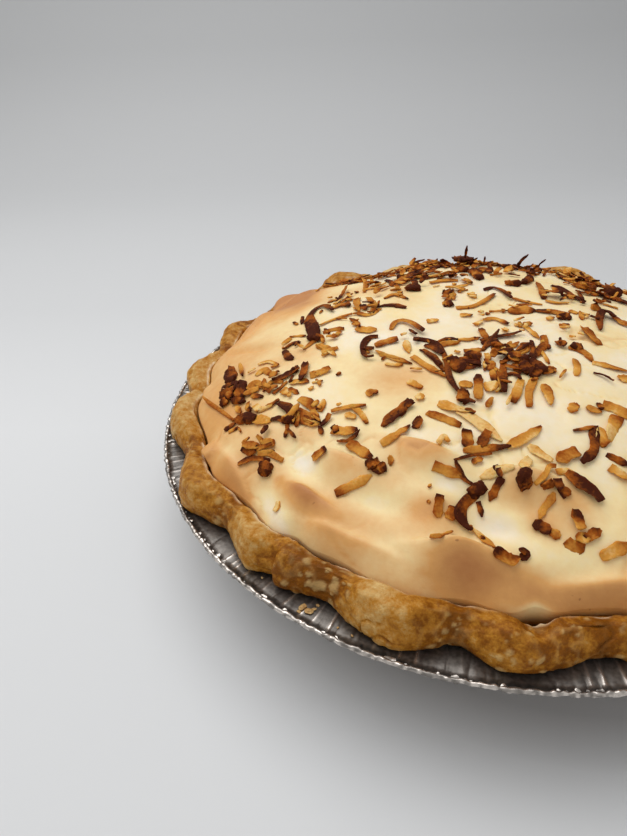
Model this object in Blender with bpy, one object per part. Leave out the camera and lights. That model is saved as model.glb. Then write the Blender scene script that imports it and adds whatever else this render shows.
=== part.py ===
"""A round meringue pie with toasted coconut, baked in its foil tin.

Metres, +Z up. The origin is the middle of the tin's underside, and -Y is the front.
Three solids: the foil tin, the pastry case with its filling, and the meringue,
which has the coconut shreds fused to it. Facing surfaces keep a small gap.
"""
import bisect
import math
import random

import bmesh
import bpy
from mathutils import Vector

MM = 0.001
GAP = 0.3 * MM
COLUMNS = 96

# Foil tin: a nine inch pie tin with a flat flange and a rolled edge.
TIN_DEPTH = 30 * MM
TIN_WALL = 0.5 * MM
TIN_BASE_RADIUS = 89 * MM
TIN_MOUTH_RADIUS = 110 * MM
TIN_RIM_RADIUS = 122 * MM
BEAD_RADIUS = 0.8 * MM
BASE_CORNER = 1.6 * MM

# Pastry rim: one rope of pastry on the flange, pinched between its lobes.
# Each lobe has its angle from +X in degrees, its outer radius and its height, in mm.
LOBES = [
    (13, 118.6, 43.0), (33, 119.2, 42.2), (53, 118.3, 43.4), (73, 119.0, 46.6),
    (95, 119.4, 44.6), (114, 119.8, 43.4), (134, 119.2, 45.0), (150, 118.6, 40.8),
    (168.5, 119.4, 41.4), (186, 119.2, 40.2), (202.5, 119.6, 42.0), (223.5, 120.2, 42.4),
    (242, 118.6, 42.8), (263.6, 118.8, 43.4), (278.5, 118.1, 42.2), (299, 118.7, 43.0),
    (318, 119.3, 42.6), (336, 118.4, 43.8), (354, 119.0, 42.8),
]
PINCH_DEPTH = 4.9 * MM
PINCH_DROP = 1.8 * MM
RIM_WIDTH = 10.6 * MM
RIM_NARROWING = 2.4 * MM
LAP_ANGLE = 244.6
LAP_DEPTH = 2.2 * MM
LAP_SPREAD = 2.4
RIM_FOOT = 30.9 * MM
FOOT_TUCK = 1.6 * MM
BELLY_RISE = 2.4 * MM
SHOULDER_RISE = 6.4 * MM
SHOULDER_TUCK = 0.5 * MM
CROWN_TUCK = 2.6 * MM
CROWN_DROP = 0.9 * MM
INNER_TUCK = 2.2 * MM
INNER_DROP = 1.0 * MM
SEAM_STEP = 0.3 * MM

# Straight facets cut inside a round gap, so round gaps get a little more.
FACET_SLACK = 0.1 * MM

# Meringue: a shallow dome of swirls that meets the pastry at the seam.
FILLING_TOP = 34 * MM
SEAM_HEIGHT = 38.4 * MM
EDGE_PUFF = 3.6 * MM
PUFF_REACH = 3.5 * MM
DOME_RISE = 23 * MM
DOME_POWER = 2.9
DOME_RINGS = [1.0, 0.975, 0.94, 0.89, 0.83, 0.765, 0.69, 0.60, 0.49, 0.36, 0.2]

# Swirls: place x and y, rise, half length, half width in mm, and turn in degrees.
SWIRLS = [
    (-1, -98, 5.2, 15, 6.0, 2),      # front hump
    (3, -86, -2.6, 13, 4.5, 0),      # hollow behind the front hump
    (36, -96, 4.4, 12, 7.0, 18),     # front right hump
    (23, -102, -2.6, 3.5, 5.0, 12),  # notch between the two humps
    (14, -73, 2.6, 9, 5.0, 4),
    (14, -81, -1.6, 10, 3.0, 4),
    (-14, -70, 3.2, 11, 6.5, -14),
    (-5, -79, -1.8, 9, 4.0, -8),
    (-35, -75, 2.4, 8, 5.0, -20),
    (-46, -84, 2.8, 9, 5.0, -28),
    (-52, -74, -1.8, 8, 4.0, -35),
    (-56, -87, -1.6, 7, 4.0, -32),
    (-25, -86, -2.0, 17, 4.0, -16),
    (-30, -97, 3.4, 17, 6.0, -17),
    (-73, -75, 2.6, 12, 5.0, -45),
    (-84, -71, -2.2, 5, 6.0, -50),
    (-95, -54, 2.4, 16, 6.0, -60),
    (-88, -14, -1.8, 12, 2.6, -12),
    (-97, 12, 2.8, 15, 6.0, 82),
    (-88, 46, 2.4, 15, 8.0, 62),
    (-57, 69, -3.0, 13, 10.0, 40),
    (52, 76, -3.2, 14, 10.0, -30),
    (-25, -39, -1.4, 12, 9.0, 10),
    (-6, 62, 2.0, 16, 9.0, 0),
]
# The side turned away carries a ring of like swirls, spaced evenly.
FAR_SWIRLS_FROM = -52.0
FAR_SWIRLS_TO = 128.0
FAR_SWIRL_COUNT = 11
FAR_SWIRL_RADIUS = 94 * MM
FAR_SWIRL_INSETS = (0, 7 * MM, 3 * MM)
FAR_SWIRL_RISES = (2.6 * MM, 1.8 * MM, -2.2 * MM)
FAR_SWIRL_HALF_LENGTH = 13 * MM
FAR_SWIRL_HALF_WIDTH = 6 * MM

# Coconut heaps: place x and y, spread in mm, and how many shreds.
HEAPS = [
    (-80, -42, 7, 6), (-66, -44, 8, 5), (-55, -58, 7, 4), (-72, -58, 5, 3),
    (-60, -72, 7, 4), (-66, -9, 7, 5), (-68, -24, 4, 2), (-54, 13, 8, 4),
    (-35, 8, 6, 3), (-48, 32, 7, 4), (-31, 46, 7, 4), (-16, 64, 8, 5),
    (-37, -24, 6, 3), (-12, -33, 10, 7), (12, -27, 10, 8), (3, -85, 5, 3),
    (22, -87, 6, 4), (29, -73, 5, 3), (11, -76, 5, 2), (-9, -60, 5, 3),
    (2, -64, 5, 2), (-29, -77, 6, 3), (31, -57, 6, 3), (42, 28, 9, 5),
    (18, 13, 8, 4), (68, -34, 9, 4), (74, 22, 9, 4), (48, 62, 9, 4), (12, 88, 8, 3),
]
HEAP_SEED = 41
HEAP_SCATTER = 0.6
SHRED_LENGTH = (7 * MM, 17 * MM)
SHRED_WIDTH = (1.7 * MM, 2.6 * MM)
SHRED_THICKNESS = 0.9 * MM
SHRED_STEPS = 3
SHRED_CURL = 70
SHRED_LIFT = 4 * MM
SHRED_SUNK = 0.55 * MM
SHRED_LIMIT_RADIUS = 95 * MM

LOBE_ANGLES = [lobe[0] for lobe in LOBES]


def clear_scene():
    for thing in list(bpy.data.objects):
        bpy.data.objects.remove(thing)


def plain_material(name, color, roughness, metallic=0.0):
    material = bpy.data.materials.new(name)
    material.use_nodes = True
    shader = material.node_tree.nodes["Principled BSDF"]
    shader.inputs["Base Color"].default_value = (*color, 1.0)
    shader.inputs["Roughness"].default_value = roughness
    shader.inputs["Metallic"].default_value = metallic
    return material


def smooth_step(t):
    return t * t * (3 - 2 * t)


def lobe_wave(degrees):
    """1 on a lobe and 0 in a pinch, with the radius and height of the lobes around."""
    degrees = degrees % 360
    after = bisect.bisect_right(LOBE_ANGLES, degrees) % len(LOBES)
    left, right = LOBES[after - 1], LOBES[after]
    span = (right[0] - left[0]) % 360
    t = ((degrees - left[0]) % 360) / span
    blend = smooth_step(t)
    radius = (left[1] + (right[1] - left[1]) * blend) * MM
    height = (left[2] + (right[2] - left[2]) * blend) * MM
    return 0.5 + 0.5 * math.cos(2 * math.pi * t), radius, height


def lap_notch(degrees):
    """The sharp fold where one end of the pastry rope lies over the other."""
    away = (degrees - LAP_ANGLE + 180) % 360 - 180
    return LAP_DEPTH * math.exp(-(away / LAP_SPREAD) ** 2)


def rim_outer(degrees):
    wave, radius, _ = lobe_wave(degrees)
    return radius - PINCH_DEPTH * (1 - wave) - lap_notch(degrees)


def rim_top(degrees):
    wave, _, height = lobe_wave(degrees)
    return height - PINCH_DROP * (1 - wave) - 0.5 * lap_notch(degrees)


def seam_radius(degrees):
    """The pastry's inner edge, where the meringue begins."""
    wave, _, _ = lobe_wave(degrees)
    return rim_outer(degrees) - RIM_WIDTH + RIM_NARROWING * (1 - wave)


def swirl_list():
    swirls = [(x * MM, y * MM, rise * MM, long * MM, wide * MM, math.radians(turn))
              for x, y, rise, long, wide, turn in SWIRLS]
    step = (FAR_SWIRLS_TO - FAR_SWIRLS_FROM) / (FAR_SWIRL_COUNT - 1)
    for index in range(FAR_SWIRL_COUNT):
        angle = math.radians(FAR_SWIRLS_FROM + step * index)
        radius = FAR_SWIRL_RADIUS - FAR_SWIRL_INSETS[index % 3]
        swirls.append((radius * math.cos(angle), radius * math.sin(angle), FAR_SWIRL_RISES[index % 3],
                       FAR_SWIRL_HALF_LENGTH, FAR_SWIRL_HALF_WIDTH, angle + math.pi / 2))
    return swirls


ALL_SWIRLS = swirl_list()


def meringue_top(x, y):
    """Height of the meringue's upper surface over a point inside the seam."""
    radius = math.hypot(x, y)
    edge = seam_radius(math.degrees(math.atan2(y, x)))
    inward = max(edge - radius, 0.0)
    height = SEAM_HEIGHT + EDGE_PUFF * (1 - math.exp(-inward / PUFF_REACH))
    height += DOME_RISE * (1 - min(radius / edge, 1) ** DOME_POWER)
    edge_fade = 1 - math.exp(-inward / PUFF_REACH)
    for place_x, place_y, rise, half_long, half_wide, turn in ALL_SWIRLS:
        away_x, away_y = x - place_x, y - place_y
        along = (away_x * math.cos(turn) + away_y * math.sin(turn)) / half_long
        across = (away_y * math.cos(turn) - away_x * math.sin(turn)) / half_wide
        height += edge_fade * rise * math.exp(-along * along - across * across)
    return height


def turned(name, section, material):
    """A closed solid turned about +Z from section(degrees), a list of radius and height.

    The list runs up the outside, from the axis underneath to the axis on top.
    """
    mesh = bmesh.new()
    ring = mesh.verts.layers.int.new("ring")
    start = []
    for index, (radius, height) in enumerate(section(0.0)):
        vert = mesh.verts.new((radius, 0, height))
        vert[ring] = index
        start.append(vert)
    edges = [mesh.edges.new(pair) for pair in zip(start, start[1:])]
    bmesh.ops.spin(mesh, geom=start + edges, cent=(0, 0, 0), axis=(0, 0, 1),
                   angle=2 * math.pi, steps=COLUMNS, use_merge=True)
    bmesh.ops.remove_doubles(mesh, verts=mesh.verts, dist=0.01 * MM)
    for vert in mesh.verts:
        degrees = math.degrees(math.atan2(vert.co.y, vert.co.x)) % 360
        radius, height = section(degrees)[vert[ring]]
        angle = math.radians(degrees)
        vert.co = (radius * math.cos(angle), radius * math.sin(angle), height)
    bmesh.ops.recalc_face_normals(mesh, faces=mesh.faces)
    data = bpy.data.meshes.new(name)
    mesh.to_mesh(data)
    mesh.free()
    data.materials.append(material)
    data.shade_smooth()
    solid = bpy.data.objects.new(name, data)
    bpy.context.scene.collection.objects.link(solid)
    return solid


def tin_section(_degrees):
    """Thin foil: flat base, sloping side, flange and a rolled bead, then back inside."""
    flange_out = TIN_RIM_RADIUS - 2 * BEAD_RADIUS
    bead_middle = TIN_RIM_RADIUS - BEAD_RADIUS
    bead_height = TIN_DEPTH + 0.4 * MM
    return [
        (0, 0),
        (TIN_BASE_RADIUS, 0),
        (TIN_BASE_RADIUS + BASE_CORNER, BASE_CORNER),
        (TIN_MOUTH_RADIUS + TIN_WALL, TIN_DEPTH),
        (flange_out, TIN_DEPTH),
        (bead_middle, bead_height - BEAD_RADIUS),
        (TIN_RIM_RADIUS, bead_height),
        (bead_middle, bead_height + BEAD_RADIUS),
        (flange_out, TIN_DEPTH + TIN_WALL),
        (TIN_MOUTH_RADIUS, TIN_DEPTH + TIN_WALL),
        (TIN_BASE_RADIUS + BASE_CORNER - TIN_WALL, BASE_CORNER + 0.3 * TIN_WALL),
        (TIN_BASE_RADIUS - TIN_WALL, TIN_WALL),
        (0, TIN_WALL),
    ]


def crust_section(degrees):
    """The filled case inside the tin, then the rope of pastry that lies on the flange."""
    outer, top, seam = rim_outer(degrees), rim_top(degrees), seam_radius(degrees)
    clear = GAP + FACET_SLACK
    return [
        (0, TIN_WALL + GAP),
        (TIN_BASE_RADIUS - TIN_WALL - clear, TIN_WALL + GAP),
        (TIN_BASE_RADIUS + BASE_CORNER - TIN_WALL - clear, BASE_CORNER + clear),
        (TIN_MOUTH_RADIUS - clear, RIM_FOOT),
        (outer - FOOT_TUCK, RIM_FOOT),
        (outer, RIM_FOOT + BELLY_RISE),
        (outer - SHOULDER_TUCK, RIM_FOOT + SHOULDER_RISE),
        (outer - CROWN_TUCK, top - CROWN_DROP),
        (0.5 * (outer + seam), top),
        (seam + INNER_TUCK, top - INNER_DROP),
        (seam, SEAM_HEIGHT - SEAM_STEP),
        (seam, FILLING_TOP),
        (0, FILLING_TOP),
    ]


def meringue_section(degrees):
    """Flat underneath, upright to the seam, then the swirled dome."""
    angle = math.radians(degrees)
    edge = seam_radius(degrees) - GAP - FACET_SLACK
    floor = FILLING_TOP + GAP
    rings = [(0, floor), (edge, floor), (edge, SEAM_HEIGHT)]
    for part in DOME_RINGS[1:]:
        radius = edge * part
        height = meringue_top(radius * math.cos(angle), radius * math.sin(angle))
        rings.append((radius, height))
    rings.append((0, meringue_top(0, 0)))
    return rings


def shred(number, x, y, heading, length, width, curl, lift, heap):
    """One curled strip that lies on the meringue, with its far end lifted."""
    mesh = bmesh.new()
    step = length / SHRED_STEPS
    place, turn = Vector((x, y, 0)), heading
    stations = []
    for index in range(SHRED_STEPS + 1):
        rise = lift * (index / SHRED_STEPS) ** 2
        height = meringue_top(place.x, place.y) - SHRED_SUNK + rise
        side = Vector((-math.sin(turn), math.cos(turn), 0)) * 0.5 * width
        foot = Vector((place.x, place.y, height))
        lid = foot + Vector((0, 0, SHRED_THICKNESS))
        stations.append([foot - side, foot + side, lid + side, lid - side])
        place = place + Vector((math.cos(turn), math.sin(turn), 0)) * step
        turn += curl / SHRED_STEPS
    face = mesh.faces.new([mesh.verts.new(corner) for corner in stations[0]])
    for before, corners in zip(stations, stations[1:]):
        grown = bmesh.ops.extrude_face_region(mesh, geom=[face])["geom"]
        if before is not stations[0]:
            bmesh.ops.delete(mesh, geom=[face], context="FACES_ONLY")
        face = [item for item in grown if isinstance(item, bmesh.types.BMFace)][0]
        for vert in face.verts:
            nearest = min(range(4), key=lambda corner: (vert.co - before[corner]).length)
            vert.co = corners[nearest]
    bmesh.ops.recalc_face_normals(mesh, faces=mesh.faces)
    data = bpy.data.meshes.new("shred")
    mesh.to_mesh(data)
    mesh.free()
    strip = bpy.data.objects.new("shred_%03d" % number, data)
    heap.objects.link(strip)


def scatter_coconut(heap):
    draw = random.Random(HEAP_SEED)
    number = 0
    for x, y, spread, count in HEAPS:
        for _ in range(count):
            length = draw.uniform(*SHRED_LENGTH)
            heading = draw.uniform(0, 2 * math.pi)
            reach = Vector((math.cos(heading), math.sin(heading), 0)) * length
            away_x, away_y = draw.gauss(0, HEAP_SCATTER), draw.gauss(0, HEAP_SCATTER)
            place = Vector((x + away_x * spread, y + away_y * spread, 0)) * MM
            far = place + reach
            if far.length > SHRED_LIMIT_RADIUS:
                heading += math.pi
            if place.length > SHRED_LIMIT_RADIUS:
                place = place * (SHRED_LIMIT_RADIUS / place.length)
            curl = math.radians(draw.uniform(-SHRED_CURL, SHRED_CURL))
            lift = draw.uniform(0, 1) ** 2 * SHRED_LIFT
            width = draw.uniform(*SHRED_WIDTH)
            shred(number, place.x, place.y, heading, length, width, curl, lift, heap)
            number += 1


def fuse_coconut(meringue):
    """One Boolean union joins every shred to the meringue."""
    heap = bpy.data.collections.new("coconut")
    bpy.context.scene.collection.children.link(heap)
    scatter_coconut(heap)
    union = meringue.modifiers.new("coconut", "BOOLEAN")
    union.operation = "UNION"
    union.operand_type = "COLLECTION"
    union.collection = heap
    union.solver = "EXACT"
    with bpy.context.temp_override(object=meringue, active_object=meringue):
        bpy.ops.object.modifier_apply(modifier=union.name)
    for strip in list(heap.objects):
        bpy.data.objects.remove(strip)
    bpy.data.collections.remove(heap)


def keep_outer_skin(solid):
    """Drops each shell but the largest, which fills hollows sealed by crossing shreds."""
    mesh = bmesh.new()
    mesh.from_mesh(solid.data)
    waiting = set(mesh.verts)
    shells = []
    while waiting:
        edge_of_shell = [waiting.pop()]
        shell = list(edge_of_shell)
        while edge_of_shell:
            vert = edge_of_shell.pop()
            for link in vert.link_edges:
                other = link.other_vert(vert)
                if other in waiting:
                    waiting.remove(other)
                    shell.append(other)
                    edge_of_shell.append(other)
        shells.append(shell)
    shells.sort(key=len)
    for shell in shells[:-1]:
        bmesh.ops.delete(mesh, geom=shell, context="VERTS")
    mesh.to_mesh(solid.data)
    mesh.free()


def main():
    clear_scene()
    foil = plain_material("foil", (0.72, 0.72, 0.73), 0.28, metallic=1.0)
    pastry = plain_material("pastry", (0.52, 0.29, 0.10), 0.6)
    browned_meringue = plain_material("browned_meringue", (0.84, 0.66, 0.42), 0.55)
    turned("foil_tin", tin_section, foil)
    turned("crust", crust_section, pastry)
    meringue = turned("meringue", meringue_section, browned_meringue)
    fuse_coconut(meringue)
    keep_outer_skin(meringue)


main()
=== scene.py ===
"""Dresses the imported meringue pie: foil tin, pastry, meringue, coconut and crumbs."""

import itertools
import math
import random

import bmesh
import bpy
import numpy as np
from bpy.props import FloatProperty, FloatVectorProperty, IntProperty, PointerProperty
from bpy.types import Operator, Panel, PropertyGroup
from mathutils import Matrix, Vector


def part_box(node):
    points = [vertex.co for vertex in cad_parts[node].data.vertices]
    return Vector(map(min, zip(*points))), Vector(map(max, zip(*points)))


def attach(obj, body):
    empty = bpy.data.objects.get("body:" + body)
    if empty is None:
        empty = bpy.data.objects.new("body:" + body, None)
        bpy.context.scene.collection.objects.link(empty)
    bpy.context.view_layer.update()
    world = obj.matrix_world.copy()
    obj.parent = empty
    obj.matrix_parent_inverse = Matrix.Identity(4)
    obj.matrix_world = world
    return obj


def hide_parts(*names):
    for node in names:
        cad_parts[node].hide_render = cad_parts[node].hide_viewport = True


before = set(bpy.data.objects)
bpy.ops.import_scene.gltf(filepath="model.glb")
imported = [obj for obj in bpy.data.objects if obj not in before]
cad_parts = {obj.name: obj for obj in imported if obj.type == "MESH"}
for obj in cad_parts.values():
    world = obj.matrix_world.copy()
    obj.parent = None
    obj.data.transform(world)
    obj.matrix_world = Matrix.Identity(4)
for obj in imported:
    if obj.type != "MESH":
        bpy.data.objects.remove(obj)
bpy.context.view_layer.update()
_, TIN_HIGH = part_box("foil_tin")

bl_info = {
    "name": "Coconut Meringue Pie",
    "version": (1, 0, 0),
    "blender": (4, 5, 0),
    "location": "View3D > Sidebar > Pie",
    "description": "Models a baked meringue pie with toasted coconut in its foil tin",
    "category": "Add Mesh",
}

MM = 0.001
WEDGES = 45

# The photograph's camera: place, turn in degrees and focal length in its pixels.
PHOTO_WIDTH = 627
PHOTO_HEIGHT = 836
CAMERA_SPOT = Vector((0, -0.2128, 0.1678))
CAMERA_YAW = -17.95
CAMERA_PITCH = 34.8
CAMERA_ROLL = -2.3
FOCAL_PIXELS = 628
SENSOR = 36

# The backdrop's colour is painted darker away from the camera, as painted shade: distance in
# metres and shade.
SWEEP_SHADES = [(0.24, 1.0), (0.373, 0.84), (0.60, 0.71), (0.85, 0.62), (0.99, 0.55)]
# The sheet's section in metres: its near end, where it bends, the bend's radius, its top.
SWEEP_NEAR, SWEEP_BEND, SWEEP_CURVE, SWEEP_TOP = -3.0, 0.45, 0.30, 2.5
SWEEP_HALF_WIDTH = 3.5
SWEEP_CURVE_STEPS = 12

# The shade round the tin's foot: middle, reach in metres, strength and 0 to 255 colour.
FOOT_SHADE_MIDDLE = (0.022, 0.002, 0)
FOOT_SHADE_REACH = (0.106, 0.122)
FOOT_SHADE_STRENGTH = 0.45
FOOT_SHADE_COLOUR = (70, 58, 52)

KEY_SPOT = (-0.35, 0.25, 0.8)
KEY_HEIGHT = 0.8
KEY_POWER = 6.4
SKY_STRENGTH = 0.58

# Foil tin: the solids' own sizes, with a thinner wall.
TIN_RIM_RADIUS = TIN_HIGH[0]
TIN_DEPTH = 30 * MM
TIN_BASE_RADIUS = 89 * MM
TIN_MOUTH_RADIUS = 110 * MM
BEAD_RADIUS = 0.8 * MM
BASE_CORNER = 1.6 * MM
FOIL_WALL = 0.3 * MM
FOIL_COLUMNS = 2520
FLANGE_RINGS = 7
SIDE_RINGS = 6
PLEATS = 45

# Lobes of the rim, as in the solids: angle in degrees, outer radius and height in mm.
LOBES = np.array([
    (13, 118.6, 43.0), (33, 119.2, 42.2), (53, 118.3, 43.4), (73, 119.0, 46.6),
    (95, 119.4, 44.6), (114, 119.8, 43.4), (134, 119.2, 45.0), (150, 118.6, 40.8),
    (168.5, 119.4, 41.4), (186, 119.2, 40.2), (202.5, 119.6, 42.0), (223.5, 120.2, 42.4),
    (242, 118.6, 42.8), (263.6, 118.8, 43.4), (278.5, 118.1, 42.2), (299, 118.7, 43.0),
    (318, 119.3, 42.6), (336, 118.4, 43.8), (354, 119.0, 42.8),
])
PINCH_DEPTH = 4.9 * MM
PINCH_DROP = 1.8 * MM
RIM_WIDTH = 10.6 * MM
RIM_NARROWING = 2.4 * MM
LAP_ANGLE = 244.6
LAP_DEPTH = 2.2 * MM
LAP_SPREAD = 2.4
LAP_STEP_DEPTH = 3.0 * MM
LAP_SPREAD_UNDER = 3.0
LAP_SPREAD_OVER = 0.8
RIM_FOOT = 30.9 * MM
GAP = 0.3 * MM
FACET_SLACK = 0.1 * MM
FOOT_TUCK = 1.6 * MM
BELLY_RISE = 2.4 * MM
SHOULDER_RISE = 6.4 * MM
SHOULDER_TUCK = 0.5 * MM
CROWN_TUCK = 2.6 * MM
CROWN_DROP = 0.9 * MM
INNER_TUCK = 1.1 * MM
INNER_DROP = 1.2 * MM
SEAM_STEP = 0.3 * MM

# The points of the pastry's section between which it is rounded, and steps between two.
ROPE_FIRST, ROPE_LAST, ROPE_STEPS = 3, 10, 9
CRUST_COLUMNS = 1350
BLISTER_RADII = (0.6, 0.7, 0.8, 1.0, 1.2, 1.6)

# Baking of the pastry round the rim: angle, spread in degrees and how much darker.
BAKED = [
    (248, 5, 0.24), (284, 16, 0.06), (240, 5, -0.26), (232, 5, 0.12), (196, 16, -0.26),
    (261, 4.5, -0.28), (268, 4, 0.14), (283, 5, 0.10), (115, 14, -0.50), (74, 14, -0.26),
    (252, 4, 0.10), (234, 7, -0.12), (205, 8, -0.10),
]

# Where the pastry is pinched away from the meringue, whose pale side shows.
NOTCH_ANGLE = 280.6
NOTCH_SPREAD = 2.1
NOTCH_DEPTH = 1.3 * MM
NOTCH_DIP = 3.2 * MM

# Where the meringue laps over the pastry: angle, spread in degrees and reach in mm.
OVERLAPS = [(152, 6.5, 8.0), (218.6, 2.2, 2.6), (196, 3.0, 1.5), (330, 5.0, 3.0), (60, 5.0, 3.5)]

# Meringue: its heights and the dome's curve are the solids' own, and its crests sharper.
FILLING_TOP = 34 * MM
SEAM_HEIGHT = 38.4 * MM
EDGE_PUFF = 3.6 * MM
PUFF_REACH = 3.5 * MM
DOME_RISE = 23 * MM
DOME_POWER = 2.9
CREST_POWER = 5.0
CREST_BACK = 0.34
BROWN_BACK = 0.55
MERINGUE_COLUMNS = 900
MERINGUE_RINGS = 106

# How far along a line of sight, in metres, the meringue is looked for, and how far out.
SIGHT_REACH = np.linspace(0.10, 0.40, 901)
LANDING_RADIUS = 106 * MM

# Swirls: place x and y, rise, half length, half width in mm, turn in degrees, and browning.
SWIRLS = [
    (0, -97.5, 8.8, 10, 6.0, 2, 0.22),
    (8, -88, -2.8, 11, 4.6, 0, -0.40),
    (36, -96, 4.4, 12, 7.0, 18, 0.30),
    (23, -102, -1.4, 3.5, 5.0, 12, -0.05),
    (14, -73, 2.6, 9, 5.0, 4, 0.25),
    (14, -81, -1.6, 10, 3.0, 4, -0.10),
    (-14, -70, 3.2, 11, 6.5, -14, 0.55),
    (-5, -79, -1.8, 9, 4.0, -8, -0.15),
    (-35, -75, 2.4, 8, 5.0, -20, 0.20),
    (-43.5, -86, 2.8, 8.5, 4.8, -26, 0.38),
    (-48, -76, -1.8, 8, 4.5, -35, -0.38),
    (-55, -87, -1.6, 10, 4.0, -52, -0.36),
    (-25, -86, -2.0, 17, 4.0, -16, -0.28),
    (-30, -97, 3.4, 17, 6.0, -17, 0.25),
    (-73, -75, 2.6, 12, 5.0, -45, 0.20),
    (-84, -71, -2.2, 5, 6.0, -50, 0.10),
    (-95, -54, 2.4, 16, 6.0, -60, -0.05),
    (-88, -14, -1.8, 12, 2.6, -12, 0.05),
    (-97, 12, 2.8, 15, 6.0, 82, 0.15),
    (-88, 46, 2.4, 15, 8.0, 62, 0.45),
    (-96, 52, 1.4, 13, 6.0, 62, 0.40),
    (-57, 69, -3.0, 13, 10.0, 40, 0.0),
    (52, 76, -3.2, 14, 10.0, -30, 0.0),
    (-25, -39, -1.4, 12, 9.0, 10, 0.32),
    (-6, 62, 2.0, 16, 9.0, 0, 0.0),
]

# Patches browned more or less than the rest: place, half length and width in mm, turn
# in degrees, and browning.
STAINS = [
    (-46, -93, 9, 7, -30, -.26), (-22, -102, 17, 5, -13, -.2), (-55, -89, 9, 4, -55, -.12),
    (-76, -70, 7, 6, -45, -.22), (-10, -88, 9, 4.5, 0, .42), (24, -92, 14, 5, 8, -.3),
    (-74, -4, 26, 12, 80, .18), (-86, 38, 16, 9, 70, .55), (-50, -65, 7, 4, -20, .22),
    (11, -80, 10, 3.5, 0, .22), (-50, 26, 24, 9, 10, .22), (-64, -24, 9, 7, 0, .2),
    (-70, -33, 10, 8, 30, .16), (-43, -99, 7, 5, -30, -.2), (-14, -98, 9, 4, -8, -.1),
    (-22, -80, 6, 5, 0, .16), (36, -86, 8, 6, 10, -.18), (19, -86, 5, 4, 0, .2),
    (5, -101, 9, 4, 0, .28), (20, -101, 8, 4.5, 0, .26), (0, -97, 10, 2.6, 2, -.26),
    (-45, -87, 7, 4, -30, .14), (-36, 12, 14, 8, 10, .08), (-79, 20, 12, 8, 70, .42),
    (27, -76, 6, 5, 0, .24), (45, -66, 9, 6, 0, .22),
]

FAR_SWIRLS_FROM = -52.0
FAR_SWIRLS_TO = 128.0
FAR_SWIRL_COUNT = 11
FAR_SWIRL_RADIUS = 94 * MM
FAR_SWIRL_INSETS = (0, 7 * MM, 3 * MM)
FAR_SWIRL_RISES = (2.6 * MM, 1.8 * MM, -2.2 * MM)
FAR_SWIRL_BROWNING = (0.3, 0.2, -0.4)
FAR_SWIRL_HALF_LENGTH = 13 * MM
FAR_SWIRL_HALF_WIDTH = 6 * MM

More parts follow.
